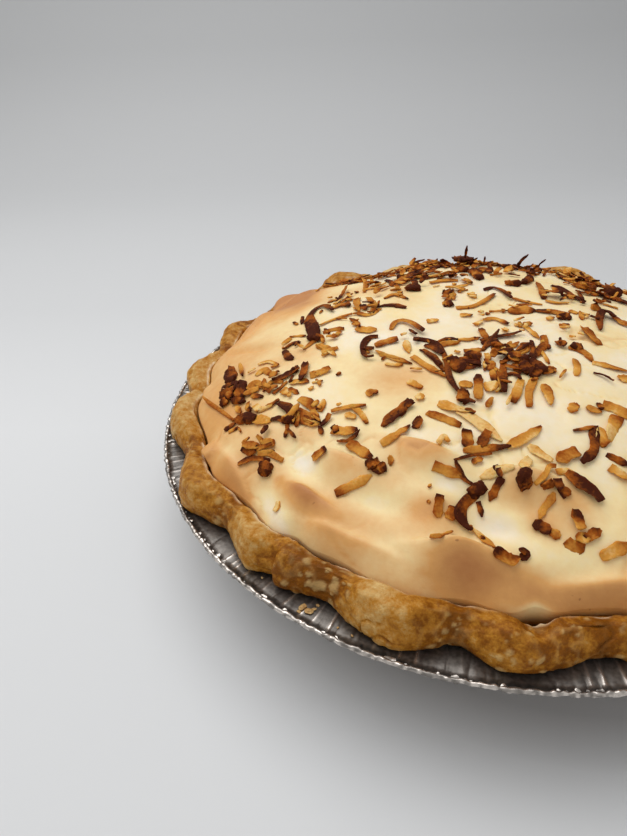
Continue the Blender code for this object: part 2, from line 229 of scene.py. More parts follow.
# Coconut shreds seen in the photograph: the width in mm, how toasted it is from 0 to 1, how
# far the end lifts in mm, and then the x and y of each pixel that the shred passes through.
SHREDS = [
    (2, .45, 1, 240, 365, 243, 377), (3, .5, 0, 249, 392, 256, 385, 264, 389),
    (2.4, .75, 0, 252, 397, 263, 398), (2.2, .45, 0, 236, 408, 241, 414),
    (3, .42, 0, 256, 377, 264, 371, 272, 377), (1.6, .18, 0, 258, 366, 268, 363, 278, 366),
    (3.2, .9, .6, 272, 382, 282, 379, 291, 374, 300, 369),
    (3, .8, 1, 306, 364, 304, 374, 301, 381), (3, .38, 0, 291, 384, 300, 383, 309, 383),
    (2, .75, 0, 273, 395, 280, 389, 287, 383), (1.8, .7, 0, 289, 390, 299, 395),
    (3.2, .28, 0, 283, 391, 288, 396), (3, .45, .5, 310, 377, 320, 374, 330, 369),
    (1, .15, 0, 312, 384, 323, 382), (1.6, .6, 0, 203, 398, 212, 406, 224, 414, 234, 422),
    (2, .85, 0, 225, 432, 236, 424), (1.6, .55, 0, 229, 434, 238, 429),
    (2.4, .9, 1.5, 249, 415, 250, 408), (3.8, .3, 0, 255, 421, 263, 422, 271, 423),
    (2.8, .08, 0, 255, 407, 260, 412), (2.6, .95, 0, 271, 421, 279, 420, 286, 424),
    (3.4, .97, .6, 278, 405, 286, 408, 293, 415, 293, 425),
    (1.3, .7, 0, 288, 424, 287, 432, 285, 439), (3.4, .75, 0, 296, 412, 308, 418, 321, 424),
    (2.4, .45, 0, 300, 422, 310, 425, 319, 426), (1.9, .85, 1, 321, 427, 327, 421, 330, 415),
    (3.8, .62, 0, 299, 400, 307, 403, 315, 412), (2.4, .35, 0, 324, 401, 320, 413),
    (1.6, .6, 0, 257, 437, 262, 443, 260, 449), (3.4, .38, 0, 262, 447, 268, 445, 275, 445),
    (2.4, .8, 1, 242, 449, 250, 454, 258, 446), (2.2, .5, 0, 258, 456, 270, 455, 283, 462),
    (2, .75, 0, 238, 466, 252, 460, 270, 462), (3.4, .58, 0, 313, 461, 319, 456, 326, 450),
    (3.4, .04, 0, 275, 508, 280, 509), (2, .4, 0, 331, 413, 348, 409, 366, 407),
    (2.2, .3, 0, 351, 407, 360, 414, 367, 425), (2.4, .25, 0, 345, 416, 356, 419),
    (2.4, .93, .8, 309, 319, 315, 311, 324, 307, 333, 311), (1.8, .95, 1, 302, 325, 303, 318),
    (3, .58, 0, 332, 310, 341, 306, 350, 307), (1.5, .8, 1, 337, 303, 342, 296, 347, 287),
    (1.8, .8, .5, 341, 304, 347, 299, 352, 295), (2.6, .58, 0, 360, 277, 366, 284, 364, 293),
    (1.6, .6, 0, 370, 280, 375, 279), (2, .6, 0, 323, 334, 333, 331, 344, 330),
    (1.8, .35, 0, 320, 326, 335, 320, 352, 315), (2, .65, .8, 350, 320, 356, 323, 360, 328),
    (3.4, .38, 0, 356, 330, 366, 332, 377, 331), (1.2, .45, 0, 290, 338, 306, 337),
    (2.6, .82, 0, 284, 350, 292, 345, 300, 344), (3, .9, 0, 285, 352, 288, 358, 293, 360),
    (2, .15, 0, 332, 337, 339, 336), (1.8, .6, 0, 304, 350, 312, 344, 318, 341),
    (2.6, .45, 0, 317, 346, 323, 349, 331, 350), (2.4, .32, 0, 319, 347, 328, 352, 336, 357),
    (2, .4, 0, 322, 357, 330, 352, 338, 349), (3, .5, 0, 356, 300, 357, 306, 358, 312),
    (2.6, .52, 0, 368, 299, 374, 306, 372, 315), (2.4, .42, 0, 357, 314, 368, 316, 378, 312),
    (2.8, .92, 0, 362, 306, 366, 311), (3.4, .9, 0, 377, 308, 390, 306, 406, 309),
    (2, .5, 0, 384, 300, 393, 296, 400, 297), (1.6, .55, 0, 398, 296, 408, 300),
    (1.4, .35, 0, 364, 291, 376, 288, 386, 284), (2.6, .65, 0, 367, 397, 372, 394, 378, 394),
    (2.4, .96, 1, 378, 338, 370, 339, 364, 345, 363, 353, 366, 358, 374, 357),
    (3.2, .62, .5, 375, 347, 386, 343, 398, 340), (2.2, .4, 0, 376, 352, 388, 357, 400, 361),
    (2.4, .2, 0, 385, 365, 394, 366, 403, 366), (3.2, .8, .5, 391, 287, 405, 279, 421, 271),
    (3.2, .85, .8, 405, 283, 420, 277, 436, 270), (3, .88, .5, 421, 271, 436, 268, 452, 266),
    (3, .6, 0, 424, 280, 440, 276, 456, 272), (1.3, .95, 2, 465, 259, 466, 252, 467, 247),
    (1.2, .9, 1.5, 455, 262, 452, 258), (1.8, .8, .5, 474, 264, 486, 265, 498, 264),
    (1, .9, 1.5, 484, 264, 485, 258), (1.4, .6, 0, 490, 276, 502, 275),
    (2.6, .45, 0, 430, 284, 444, 282, 458, 282), (1.8, .35, 0, 445, 288, 456, 288, 468, 286),
    (2.4, .7, 0, 445, 308, 449, 299, 453, 291), (2.6, .88, .5, 503, 266, 510, 267, 516, 270),
    (2, .95, 2, 517, 268, 521, 262, 528, 256), (2.2, .95, 2, 532, 275, 537, 268, 545, 261),
    (1.4, .9, 1.5, 529, 268, 528, 273), (1.2, .9, 1, 543, 277, 547, 272),
    (2.4, .8, 0, 524, 272, 534, 275), (2.8, .68, 0, 537, 284, 541, 291, 544, 300),
    (2, .32, 0, 545, 302, 556, 304, 568, 304),
    (1.9, .93, .5, 551, 287, 563, 291, 574, 298, 585, 303), (1.6, .92, 1, 578, 293, 583, 301),
    (2.4, .85, .5, 569, 278, 580, 282, 594, 286), (3.4, .78, .5, 572, 286, 588, 291, 604, 297),
    (3.4, .85, 0, 600, 296, 614, 300, 629, 306),
    (2.8, .52, 0, 456, 309, 470, 308, 482, 303, 494, 295),
    (1.8, .9, .8, 484, 291, 493, 289, 502, 292, 511, 299),
    (1.6, .45, 0, 511, 299, 525, 303, 542, 306), (2.6, .38, 0, 460, 317, 472, 316),
    (1, .6, 0, 489, 313, 508, 312), (4.8, .58, 0, 508, 313, 522, 312, 535, 312),
    (1.8, .72, .5, 516, 306, 532, 306), (3.6, .72, 0, 535, 312, 552, 313, 569, 317),
    (2.6, .58, 0, 560, 328, 569, 326), (2, .3, 0, 546, 320, 554, 319),
    (2.6, .38, 0, 569, 312, 577, 315), (2, .48, 0, 580, 313, 582, 321),
    (2.9, .95, 2, 600, 331, 599, 320, 604, 312, 614, 318),
    (3, .68, 0, 611, 317, 620, 323, 629, 328), (4.6, .62, 0, 583, 329, 590, 337, 598, 346),
    (2.2, .6, 1, 391, 331, 395, 324, 403, 322, 413, 325, 423, 332),
    (2.6, .22, 0, 427, 323, 433, 322, 438, 321), (2, .4, .4, 483, 321, 495, 320, 508, 325),
    (2.4, .12, 0, 475, 326, 482, 322), (2.4, .22, 0, 503, 330, 507, 333),
    (1.8, .22, 0, 514, 326, 521, 327), (1.6, .3, 0, 569, 338, 575, 338),
    (2.1, .93, .8, 413, 340, 432, 343, 441, 350, 446, 362, 449, 378, 456, 390, 463, 397),
    (4.6, .74, 0, 447, 367, 462, 367, 481, 366), (1.6, .9, .8, 445, 361, 463, 363, 481, 365),
    (2.6, .82, 0, 423, 351, 434, 359, 444, 372), (1.4, .92, .8, 420, 351, 431, 357, 441, 366),
    (2.8, .92, .5, 424, 347, 434, 349, 442, 355), (1.8, .88, .6, 436, 344, 447, 340, 458, 341),
    (2.2, .5, 0, 438, 346, 449, 345, 459, 344), (1.9, .42, 0, 457, 341, 468, 341, 480, 339),
    (2.2, .48, 0, 464, 353, 474, 352, 484, 351),
    (2, .92, 1, 482, 352, 488, 345, 494, 338, 499, 331),
    (2.6, .94, .8, 481, 342, 497, 338, 509, 336, 521, 333),
    (2.8, .68, 0, 480, 330, 483, 335, 486, 341), (2, .62, 0, 523, 326, 532, 325),
    (2, .35, 0, 525, 328, 532, 334, 539, 340),
    (2.8, .75, .8, 543, 337, 544, 346, 537, 354, 532, 360),
    (3.6, .66, .5, 505, 362, 518, 354, 531, 345),
    (1.2, .92, 1.2, 502, 364, 507, 359, 518, 352, 528, 345),
    (1.6, .85, 1, 531, 342, 533, 350, 530, 358), (2.5, .86, .6, 503, 362, 503, 376, 504, 393),
    (2.4, .55, 0, 500, 372, 501, 385, 501, 393), (1.5, .92, .8, 507, 376, 514, 375, 521, 380),
    (3, .32, 0, 521, 381, 517, 392, 513, 404), (2.7, .45, 0, 535, 378, 529, 392, 529, 408),
    (3.2, .42, 0, 543, 386, 548, 396, 550, 406), (2.4, .82, .8, 540, 370, 546, 374, 553, 370),
    (3.2, .6, 0, 551, 368, 552, 374), (1.4, .35, 0, 541, 352, 549, 365),
    (3.2, .62, 0, 490, 363, 491, 372), (2.1, .82, 0, 492, 372, 494, 381, 497, 389),
    (3.1, .62, .5, 478, 376, 478, 388, 478, 400), (3.2, .4, 0, 459, 387, 466, 386, 472, 388),
    (4.6, .12, .5, 484, 390, 491, 389, 497, 389), (2.2, .3, 0, 486, 355, 490, 361),
    (2.6, .6, 0, 510, 348, 517, 344), (2.6, .62, 0, 492, 349, 499, 352, 506, 350),
    (2.6, .72, 0, 512, 366, 517, 371, 520, 376), (1.6, .9, .4, 467, 401, 475, 404),
    (2.8, .15, 0, 406, 342, 407, 348, 409, 354), (2.5, .45, 0, 412, 358, 427, 368, 445, 378),
    (2.2, .38, 0, 380, 355, 396, 360, 412, 365), (2.8, .38, 0, 408, 383, 414, 386, 421, 390),
    (2.6, .12, 0, 416, 400, 424, 397), (3, .7, .5, 557, 343, 565, 347),
    (3, .62, 0, 568, 349, 577, 351, 586, 356, 592, 363),
    (2.6, .48, 0, 592, 364, 605, 367, 617, 370, 629, 373),
    (2.6, .4, 0, 575, 361, 577, 369, 576, 377), (.9, .92, 1, 593, 374, 604, 377, 613, 382),
    (4, .35, 0, 620, 377, 627, 384), (3.8, .8, 1, 383, 428, 392, 418, 402, 410, 411, 402),
    (2.8, .96, 1.8, 398, 417, 405, 409, 412, 401), (2.8, .42, 0, 381, 446, 395, 437, 410, 427),
    (3.2, .82, .5, 416, 430, 418, 424, 419, 418), (3.6, .42, 0, 332, 432, 346, 433, 358, 431),
    (1.3, .9, .6, 337, 442, 347, 442, 355, 437, 360, 431),
    (3.6, .48, 0, 348, 444, 359, 451, 371, 459),
    (3, .4, 0, 335, 495, 350, 488, 362, 482, 372, 476),
    (3.8, .85, 0, 372, 462, 377, 468, 381, 475), (3, .5, 0, 388, 462, 394, 462),
    (2.8, .5, 0, 427, 414, 444, 420, 461, 427), (3.4, .18, 0, 438, 405, 455, 410, 473, 414),
    (3.6, .04, 0, 458, 412, 478, 424, 502, 443), (1.8, .85, .5, 465, 410, 474, 415),
    (1.8, .12, .4, 438, 445, 443, 438, 449, 443), (3.6, .64, 1, 468, 449, 467, 440, 466, 431),
    (3.1, .8, 1, 480, 449, 484, 440, 489, 432),
    (2.8, .6, 0, 463, 452, 480, 451, 497, 449, 509, 448),
    (1.8, .88, .8, 490, 450, 501, 449, 511, 447),
    (3.2, .28, 0, 507, 449, 520, 442, 532, 435, 541, 428),
    (1.2, .86, .5, 454, 462, 465, 458, 478, 456, 492, 455),
    (1.6, .88, .5, 455, 462, 459, 471, 465, 481, 474, 487), (2, .62, 0, 472, 464, 482, 460),
    (3.2, .48, 0, 433, 467, 446, 472, 461, 478), (.9, .4, 0, 428, 489, 431, 486),
    (1, .6, 0, 427, 502, 430, 504), (2.8, .66, 1, 438, 519, 438, 508, 440, 496),
    (3.2, .72, .5, 449, 521, 452, 514, 454, 508),
    (3.4, .93, .8, 486, 488, 475, 496, 464, 505, 460, 515, 465, 526, 472, 531),
    (1.6, .85, .5, 478, 503, 480, 510, 482, 518), (2, .95, 1, 466, 528, 472, 531),
    (2, .35, 0, 472, 530, 484, 541, 494, 549),
    (3.4, .72, .3, 494, 551, 503, 558, 512, 562, 520, 560),
    (2.2, .97, 1.6, 520, 561, 526, 555, 519, 551), (1.2, .9, .6, 480, 538, 484, 541),
    (3.2, .48, 0, 571, 414, 575, 405), (3.6, .45, 0, 586, 408, 594, 412, 601, 413),
    (1.8, .75, .5, 598, 405, 602, 411), (3.6, .38, 0, 602, 407, 615, 411, 629, 419),
    (4.2, .28, 0, 617, 418, 612, 430, 609, 442), (1.6, .68, .5, 573, 432, 584, 430, 593, 428),
    (2.9, .88, .8, 593, 428, 594, 441, 593, 453, 581, 464),
    (4, .38, 0, 601, 430, 602, 440, 603, 449), (3.9, .58, 0, 557, 463, 567, 457, 578, 453),
    (2.6, .08, 0, 528, 447, 540, 456, 552, 463), (3, .05, 0, 522, 470, 529, 460),
    (3, .02, 0, 480, 480, 498, 472, 514, 468), (2, .97, .8, 495, 467, 499, 474, 502, 479),
    (2.4, .84, 0, 502, 479, 496, 489, 489, 503),
    (1.6, .32, .5, 535, 486, 545, 476, 549, 468, 556, 468),
    (2.2, .2, 0, 556, 473, 566, 473, 575, 476), (3.6, .6, 0, 547, 482, 550, 490),
    (2.6, .92, .8, 556, 480, 560, 492), (3.2, .8, 0, 560, 496, 569, 491),
    (4, .94, .6, 565, 474, 578, 484, 590, 492, 600, 503),
    (2.2, .42, 0, 554, 494, 550, 502, 543, 511, 539, 521),
    (3.4, .93, .5, 533, 524, 542, 529, 550, 533), (2.8, .55, 0, 549, 533, 555, 536, 560, 539),
    (3.2, .72, .8, 574, 511, 577, 521, 581, 531), (3.6, .62, 0, 566, 542, 574, 549, 584, 545),
    (3.4, .3, 0, 576, 536, 582, 540, 588, 537), (2.8, .72, .4, 586, 541, 593, 536, 600, 531),
    (2.4, .8, 0, 606, 456, 616, 461, 629, 467), (3.4, .25, 0, 609, 469, 619, 475, 629, 482),
    (3.6, .35, 0, 600, 559, 613, 553, 629, 545), (1.3, .5, 0, 430, 538, 441, 537, 452, 533),
]

# Clumps of fused, dark coconut: width in mm, toastedness and the pixels of both ends.
CLUMPS = [
    (5.2, .93, 230, 372, 232, 385), (4.6, .98, 241, 383, 241, 401), (4.2, .84, 220, 396, 231, 396),
    (3.6, .86, 221, 407, 229, 402), (3.4, .86, 232, 401, 244, 403), (4.6, .95, 237, 421, 256, 421),
    (4, .96, 285, 418, 292, 424), (5, .88, 259, 472, 271, 472), (5.2, .97, 309, 319, 316, 340),
    (4.4, .92, 308, 338, 322, 341), (3.2, .85, 350, 283, 356, 284), (3.2, .85, 396, 279, 407, 278),
    (4.6, .97, 406, 290, 420, 291), (3.6, .88, 443, 293, 452, 295), (3.2, .9, 444, 304, 452, 307),
    (5.6, .93, 455, 262, 470, 262), (4.4, .88, 456, 271, 468, 272), (5.2, .82, 472, 272, 480, 281),
    (4.2, .74, 504, 285, 521, 286), (3.8, .92, 523, 285, 531, 279), (3.2, .88, 503, 268, 516, 268),
    (3, .92, 530, 272, 541, 271), (4, .82, 574, 287, 596, 291), (6.4, .96, 604, 293, 620, 296),
    (3.6, .9, 557, 318, 571, 319), (3.6, .72, 591, 309, 599, 310), (3.8, .86, 570, 349, 582, 349),
    (4.8, .95, 524, 366, 530, 376), (4.6, .93, 531, 374, 539, 379), (3, .92, 525, 358, 523, 368),
    (3.4, .8, 491, 346, 505, 350), (4, .84, 461, 393, 464, 405), (4.6, .9, 449, 360, 463, 374),
    (4.2, .92, 466, 356, 479, 362), (4.4, .93, 532, 363, 543, 376), (3.2, .86, 379, 466, 386, 473),
    (5.4, .97, 516, 481, 529, 484), (3.8, .95, 523, 486, 527, 492), (4, .96, 468, 498, 485, 488),
    (3.6, .72, 546, 484, 550, 490), (3, .95, 290, 374, 299, 370), (4.2, .88, 369, 462, 374, 471),
]
CLUMP_BULK = 0.5
CLUMP_CRUMPLE = 0.55 * MM

# Heaps of coconut where the photograph doesn't reach: x, y and spread in mm, and a count.
FAR_HEAPS = [
    (62, -38, 9, 8), (76, 12, 9, 8), (66, 44, 9, 9), (44, 74, 9, 16), (8, 88, 9, 12),
    (-34, 82, 8, 14), (-22, 72, 8, 12), (56, -66, 8, 6), (86, -22, 6, 4), (-62, 52, 7, 8),
    (60, -8, 9, 6), (78, -50, 6, 3), (28, 72, 9, 14), (-8, 76, 8, 12), (-46, 66, 7, 8),
]

FAR_POINTS = 4
FAR_LENGTH = (4, 17)
FAR_WIDTH = (2.0, 3.6)
FAR_LIFTS = (0, 0, 0, 1, 2, 3)
FAR_TOASTS = (.3, .4, .5, .6, .75, .85, .9, .95)
FAR_LIMIT_RADIUS = 96 * MM

# Rings along each kind of shred and sides round it.
SHRED_MESH, LITTER_MESH, SCRAP_MESH, CLUMP_MESH = (16, 10), (8, 8), (6, 6), (14, 14)
SHRED_CLEAR = 0.3 * MM

# Litter: thick belts of short shreds in the photograph. Each has its middle and its
# spread in the photograph's pixels, a count, and how toasted it is from 0 to 1.
LITTER = [
    ((436, 277), (30, 5), 26, .75), ((398, 289), (22, 6), 12, .60), ((352, 306), (17, 7), 7, .55),
    ((508, 272), (30, 5), 12, .75), ((572, 290), (24, 6), 10, .75), ((604, 300), (16, 7), 14, .80),
    ((466, 292), (26, 7), 8, .42), ((262, 386), (22, 8), 5, .48), ((232, 392), (7, 10), 7, .85),
    ((302, 418), (20, 7), 5, .62), ((508, 358), (22, 10), 12, .74), ((258, 448), (12, 7), 3, .55),
]
LITTER_LENGTH = (2.2 * MM, 7.0 * MM)
LITTER_WIDTH = (1.5, 3.2)
LITTER_LIFTS = (0, 0, 0.5, 1.1, 1.9)

# Scraps of coconut round the shreds, by how many shreds lie within reach.
SCRAP_CROWD_REACH = 11 * MM
SCRAP_MOST = 4
SCRAP_BELT = (-75 * MM, -40 * MM, 0, 60 * MM)
SCRAP_SHARES = (0.08, 0.15, 0.4, 1.0)
SCRAP_SPREAD = 2.6 * MM
SCRAP_LENGTH = (1.4 * MM, 5.0 * MM)
SCRAP_WIDTH = (0.9, 2.2)
SCRAP_LIFTS = (0, 0, 0.4, 0.9)
SCRAP_LIMIT_RADIUS = 97 * MM
LITTER_LIMIT_RADIUS = 101 * MM

# Crumbs on the flange: place in the photograph and size in mm.
CRUMBS = [
    ((303, 608), 2.6), ((309, 612), 2.2), ((314, 610), 1.6), ((299, 612), 1.3),
    ((318, 606), 1.1), ((262, 578), 0.9), ((352, 636), 0.9), ((338, 628), 0.8),
]
FAR_CRUMB_COUNT = 9
FAR_CRUMB_ANGLES = (-60, 150)
FAR_CRUMB_RADII = (119.5, 120.3)
FAR_CRUMB_SIZES = (0.7, 1.3)


def srgb(red, green, blue):
    """Linear colour from the 0 to 255 values that a screen shows."""
    def linear(value):
        value = value / 255
        return value / 12.92 if value <= 0.04045 else ((value + 0.055) / 1.055) ** 2.4
    return (linear(red), linear(green), linear(blue))


def dimmed(colour, share):
    return tuple(share * value for value in colour)


def between(first, second):
    """The colour between two, a little nearer the first."""
    return tuple(0.55 * a + 0.45 * b for a, b in zip(first, second))


def colour_property(name, description, default):
    return FloatVectorProperty(name=name, description=description, default=default,
                               subtype="COLOR", size=3, min=0, max=1)


def length_property(name, description, default):
    return FloatProperty(name=name, description=description, default=default,
                         subtype="DISTANCE", unit="LENGTH", min=0, precision=5)


class PieSizes(PropertyGroup):
    crease_height: length_property("Foil crease", "Height of the flange's creases", 0.22 * MM)
    pleat_depth: length_property("Side pleat", "Depth of the pleats in the tin's side", 0.8 * MM)
    blister_height: length_property("Blister", "Height of the pastry's blisters", 0.35 * MM)
    crack_depth: length_property("Crack", "Depth of the pastry's cracks and folds", 0.7 * MM)
    shred_thickness: length_property("Shred", "Thickness of a coconut shred", 0.55 * MM)
    light_width: length_property("Softbox", "Width of the large soft light", 1.0)
    blister_count: IntProperty(name="Blisters", description="How many blisters on the pastry",
                               default=1000, min=0)


class PieColours(PropertyGroup):
    hollow: colour_property("Hollow", "Meringue in the hollows", srgb(246, 238, 224))
    cream: colour_property("Cream", "Lightly baked meringue", srgb(244, 219, 162))
    tan: colour_property("Tan", "Browned meringue", srgb(223, 165, 94))
    browned: colour_property("Browned", "Darkest meringue", srgb(188, 124, 64))
    pore: colour_property("Pore", "Tiny scorched pores", srgb(146, 84, 36))
    pastry: colour_property("Pastry", "Golden pastry", srgb(180, 120, 34))
    pastry_dark: colour_property("Dark pastry", "Browned pastry", srgb(134, 76, 0))
    blister: colour_property("Blister", "Pale blisters on the pastry", srgb(214, 180, 118))
    flake: colour_property("Flake", "Torn flaky edge of the pastry", srgb(226, 200, 164))
    shred_pale: colour_property("Pale shred", "Barely toasted coconut", srgb(236, 196, 128))
    shred_gold: colour_property("Golden shred", "Lightly toasted coconut", srgb(214, 150, 62))
    shred_brown: colour_property("Brown shred", "Toasted coconut", srgb(156, 80, 16))
    shred_dark: colour_property("Dark shred", "Deeply toasted coconut", srgb(70, 26, 6))
    foil: colour_property("Foil", "The tin's metal", srgb(217, 208, 199))
    floor: colour_property("Floor", "The pale surface", srgb(219, 220, 221))


def smooth_step(t):
    return t * t * (3 - 2 * t)


def smooth_curve(before, start, end, after, t):
    """The Catmull-Rom curve from start to end, at t from 0 to 1."""
    return 0.5 * (2 * start + (end - before) * t
                  + (2 * before - 5 * start + 4 * end - after) * t ** 2
                  + (3 * start - before - 3 * end + after) * t ** 3)


def pointing(heading):
    return np.array([math.cos(heading), math.sin(heading)])


def farthest(spots):
    return np.linalg.norm(spots, axis=1).max()


def turn_degrees(columns):
    return np.arange(columns) * 360 / columns


def lattice(points, size, seed):
    """Smooth noise from -1 to 1 at the points, with lumps of about the given size."""
    spots = points / size
    cell = np.floor(spots).astype(np.int64)
    part = smooth_step(spots - cell)
    total = np.zeros(len(points))
    for corner in itertools.product((0, 1), repeat=3):
        near = cell + np.array(corner)
        mixed = near[:, 0] * 73856093 ^ near[:, 1] * 19349663 ^ near[:, 2] * 83492791
        mixed = (mixed ^ (seed * 2654435761)) & 0xFFFFFFFF
        mixed = ((mixed ^ (mixed >> 13)) * 1274126177) & 0xFFFFFFFF
        mixed = mixed ^ (mixed >> 16)
        weight = np.ones(len(points))
        for axis in range(3):
            weight *= part[:, axis] if corner[axis] else 1 - part[:, axis]
        total += weight * (mixed / 0x7FFFFFFF - 1)
    return total


def grid_noise(points, size, seed):
    return lattice(points.reshape(-1, 3), size, seed).reshape(points.shape[:-1])


def drift(points, size, seeds):
    """Noise with one seed for each direction, to move the points by."""
    return np.stack([grid_noise(points, size, seed) for seed in seeds], axis=-1)


def lobe_wave(degrees):
    """1 on a lobe and 0 in a pinch, with the radius and height of the lobes around."""
    degrees = np.mod(degrees, 360)
    after = np.searchsorted(LOBES[:, 0], degrees, side="right") % len(LOBES)
    left, right = LOBES[after - 1], LOBES[after]
    span = np.mod(right[..., 0] - left[..., 0], 360)
    t = np.mod(degrees - left[..., 0], 360) / span
    blend = smooth_step(t)
    radius = (left[..., 1] + (right[..., 1] - left[..., 1]) * blend) * MM
    height = (left[..., 2] + (right[..., 2] - left[..., 2]) * blend) * MM
    return 0.5 + 0.5 * np.cos(2 * np.pi * t), radius, height


def away_from(degrees, angle):
    return np.mod(degrees - angle + 180, 360) - 180


def swell(degrees, angle, spread):
    """1 at the angle, fading smoothly to 0 on both sides of it."""
    return np.exp(-(away_from(degrees, angle) / spread) ** 2)


def lap_notch(degrees):
    return LAP_DEPTH * swell(degrees, LAP_ANGLE, LAP_SPREAD)


def lap_step(degrees):
    """Outside, one end of the rope fades in under the other, which begins abruptly."""
    over = away_from(degrees, LAP_ANGLE) > 0
    spread = np.where(over, LAP_SPREAD_OVER, LAP_SPREAD_UNDER)
    return LAP_STEP_DEPTH * swell(degrees, LAP_ANGLE, spread)


def rim_outer(degrees):
    wave, radius, _ = lobe_wave(degrees)
    return radius - PINCH_DEPTH * (1 - wave) - lap_notch(degrees)


def rim_top(degrees):
    wave, _, height = lobe_wave(degrees)
    return height - PINCH_DROP * (1 - wave) - 0.5 * lap_notch(degrees)


def seam_radius(degrees):
    wave, _, _ = lobe_wave(degrees)
    return rim_outer(degrees) - RIM_WIDTH + RIM_NARROWING * (1 - wave)


def all_swirls():
    swirls = [(x * MM, y * MM, rise * MM, long * MM, wide * MM, math.radians(turn), brown)
              for x, y, rise, long, wide, turn, brown in SWIRLS]
    step = (FAR_SWIRLS_TO - FAR_SWIRLS_FROM) / (FAR_SWIRL_COUNT - 1)
    for index in range(FAR_SWIRL_COUNT):
        angle = math.radians(FAR_SWIRLS_FROM + step * index)
        kind = index % 3
        radius = FAR_SWIRL_RADIUS - FAR_SWIRL_INSETS[kind]
        swirls.append((radius * math.cos(angle), radius * math.sin(angle), FAR_SWIRL_RISES[kind],
                       FAR_SWIRL_HALF_LENGTH, FAR_SWIRL_HALF_WIDTH, angle + math.pi / 2,
                       FAR_SWIRL_BROWNING[kind]))
    return swirls


def oval_axes(x, y, place, halves, turn):
    """How far along and across a turned oval each point lies, where 1 is its edge."""
    away_x, away_y = x - place[0], y - place[1]
    return ((away_x * math.cos(turn) + away_y * math.sin(turn)) / halves[0],
            (away_y * math.cos(turn) - away_x * math.sin(turn)) / halves[1])


def swirl_shapes(x, y):
    """Each swirl's rise and browning with its spread over the points, from 0 to 1.

    A crest falls more steeply on its inner side than towards the pastry.
    """
    for place_x, place_y, rise, half_long, half_wide, turn, brown in all_swirls():
        along, across = oval_axes(x, y, (place_x, place_y), (half_long, half_wide), turn)
        if rise > 0:
            inward = math.copysign(1, place_x * math.sin(turn) - place_y * math.cos(turn))
            across = np.where(across * inward > 0, across / CREST_BACK, across)
            sharper = np.where(across * inward > 0, across / BROWN_BACK, across)
            yield (rise, brown, np.exp(-along * along - across * across),
                   np.exp(-along * along - sharper * sharper))
        else:
            spread = np.exp(-along * along - across * across)
            yield rise, brown, spread, spread


def swirl_relief(x, y):
    """Crests meet in creases, because the highest one wins, and hollows add up."""
    crests, hollows = np.zeros(np.shape(x)), np.zeros(np.shape(x))
    for rise, _, spread, _ in swirl_shapes(x, y):
        if rise > 0:
            crests += (rise / MM * spread) ** CREST_POWER
        else:
            hollows += rise * spread
    return crests ** (1 / CREST_POWER) * MM + hollows


def meringue_top(x, y):
    radius = np.hypot(x, y)
    edge = seam_radius(np.degrees(np.arctan2(y, x)))
    inward = np.maximum(edge - radius, 0)
    edge_fade = 1 - np.exp(-inward / PUFF_REACH)
    height = SEAM_HEIGHT + EDGE_PUFF * edge_fade
    height = height + DOME_RISE * (1 - np.minimum(radius / edge, 1) ** DOME_POWER)
    return height + edge_fade * swirl_relief(x, y)


def meringue_browning(x, y):
    """How browned the meringue is, from 0, white, to 1."""
    radius = np.hypot(x, y)
    edge = seam_radius(np.degrees(np.arctan2(y, x)))
    band = smooth_step(np.clip((radius / edge - 0.68) / 0.26, 0, 1))
    spots = np.stack([x, y, np.zeros(np.shape(x))], axis=-1)
    cloud = 0.10 * grid_noise(spots, 17 * MM, 3) + 0.05 * grid_noise(spots, 6 * MM, 4)
    swirls = sum(brown * spread for _, brown, _, spread in swirl_shapes(x, y))
    for place_x, place_y, half_long, half_wide, turn, brown in STAINS:
        along, across = oval_axes(x / MM, y / MM, (place_x, place_y), (half_long, half_wide),
                                  math.radians(turn))
        swirls = swirls + brown * np.exp(-along * along - across * across)
    return np.clip(0.26 + 0.36 * band + swirls + cloud, 0, 1)


def camera_axes():
    yaw, pitch, roll = (math.radians(v) for v in (CAMERA_YAW, CAMERA_PITCH, CAMERA_ROLL))
    level = Vector((math.sin(yaw), math.cos(yaw), 0))
    right = Vector((math.cos(yaw), -math.sin(yaw), 0))
    ahead = level * math.cos(pitch) - Vector((0, 0, math.sin(pitch)))
    up = right.cross(ahead)
    return (right * math.cos(roll) + up * math.sin(roll),
            up * math.cos(roll) - right * math.sin(roll), ahead)


def sight_line(pixel):
    right, up, ahead = camera_axes()
    across = (pixel[0] - PHOTO_WIDTH / 2) / FOCAL_PIXELS
    down = (pixel[1] - PHOTO_HEIGHT / 2) / FOCAL_PIXELS
    return np.array(ahead + right * across - up * down)


def land_on_meringue(pixels, lifts):
    """Where each pixel's line of sight meets the meringue, raised by its lift."""
    start = np.array(CAMERA_SPOT)
    lines = np.array([sight_line(pixel) for pixel in pixels])
    along = start + lines[:, None, :] * SIGHT_REACH[None, :, None]
    ground = meringue_top(along[..., 0], along[..., 1]) + np.array(lifts)[:, None]
    clear = along[..., 2] - ground
    inside = np.hypot(along[..., 0], along[..., 1]) < LANDING_RADIUS
    below = (clear < 0) & inside
    first = np.argmax(below, axis=1)
    landed = []
    for index, step in enumerate(first):
        if not below[index].any():
            step = int(np.argmin(np.where(inside[index], clear[index], np.inf)))
        landed.append(along[index, step])
    return np.array(landed)


def material(name):
    """A new node material and its Principled shader."""
    made = bpy.data.materials.new(name)
    made.use_nodes = True
    return made, made.node_tree.nodes["Principled BSDF"]


def add_node(made, kind, **values):
    node = made.node_tree.nodes.new(kind)
    for name, value in values.items():
        setattr(node, name, value)
    return node


def join_nodes(made, source, target):
    made.node_tree.links.new(source, target)


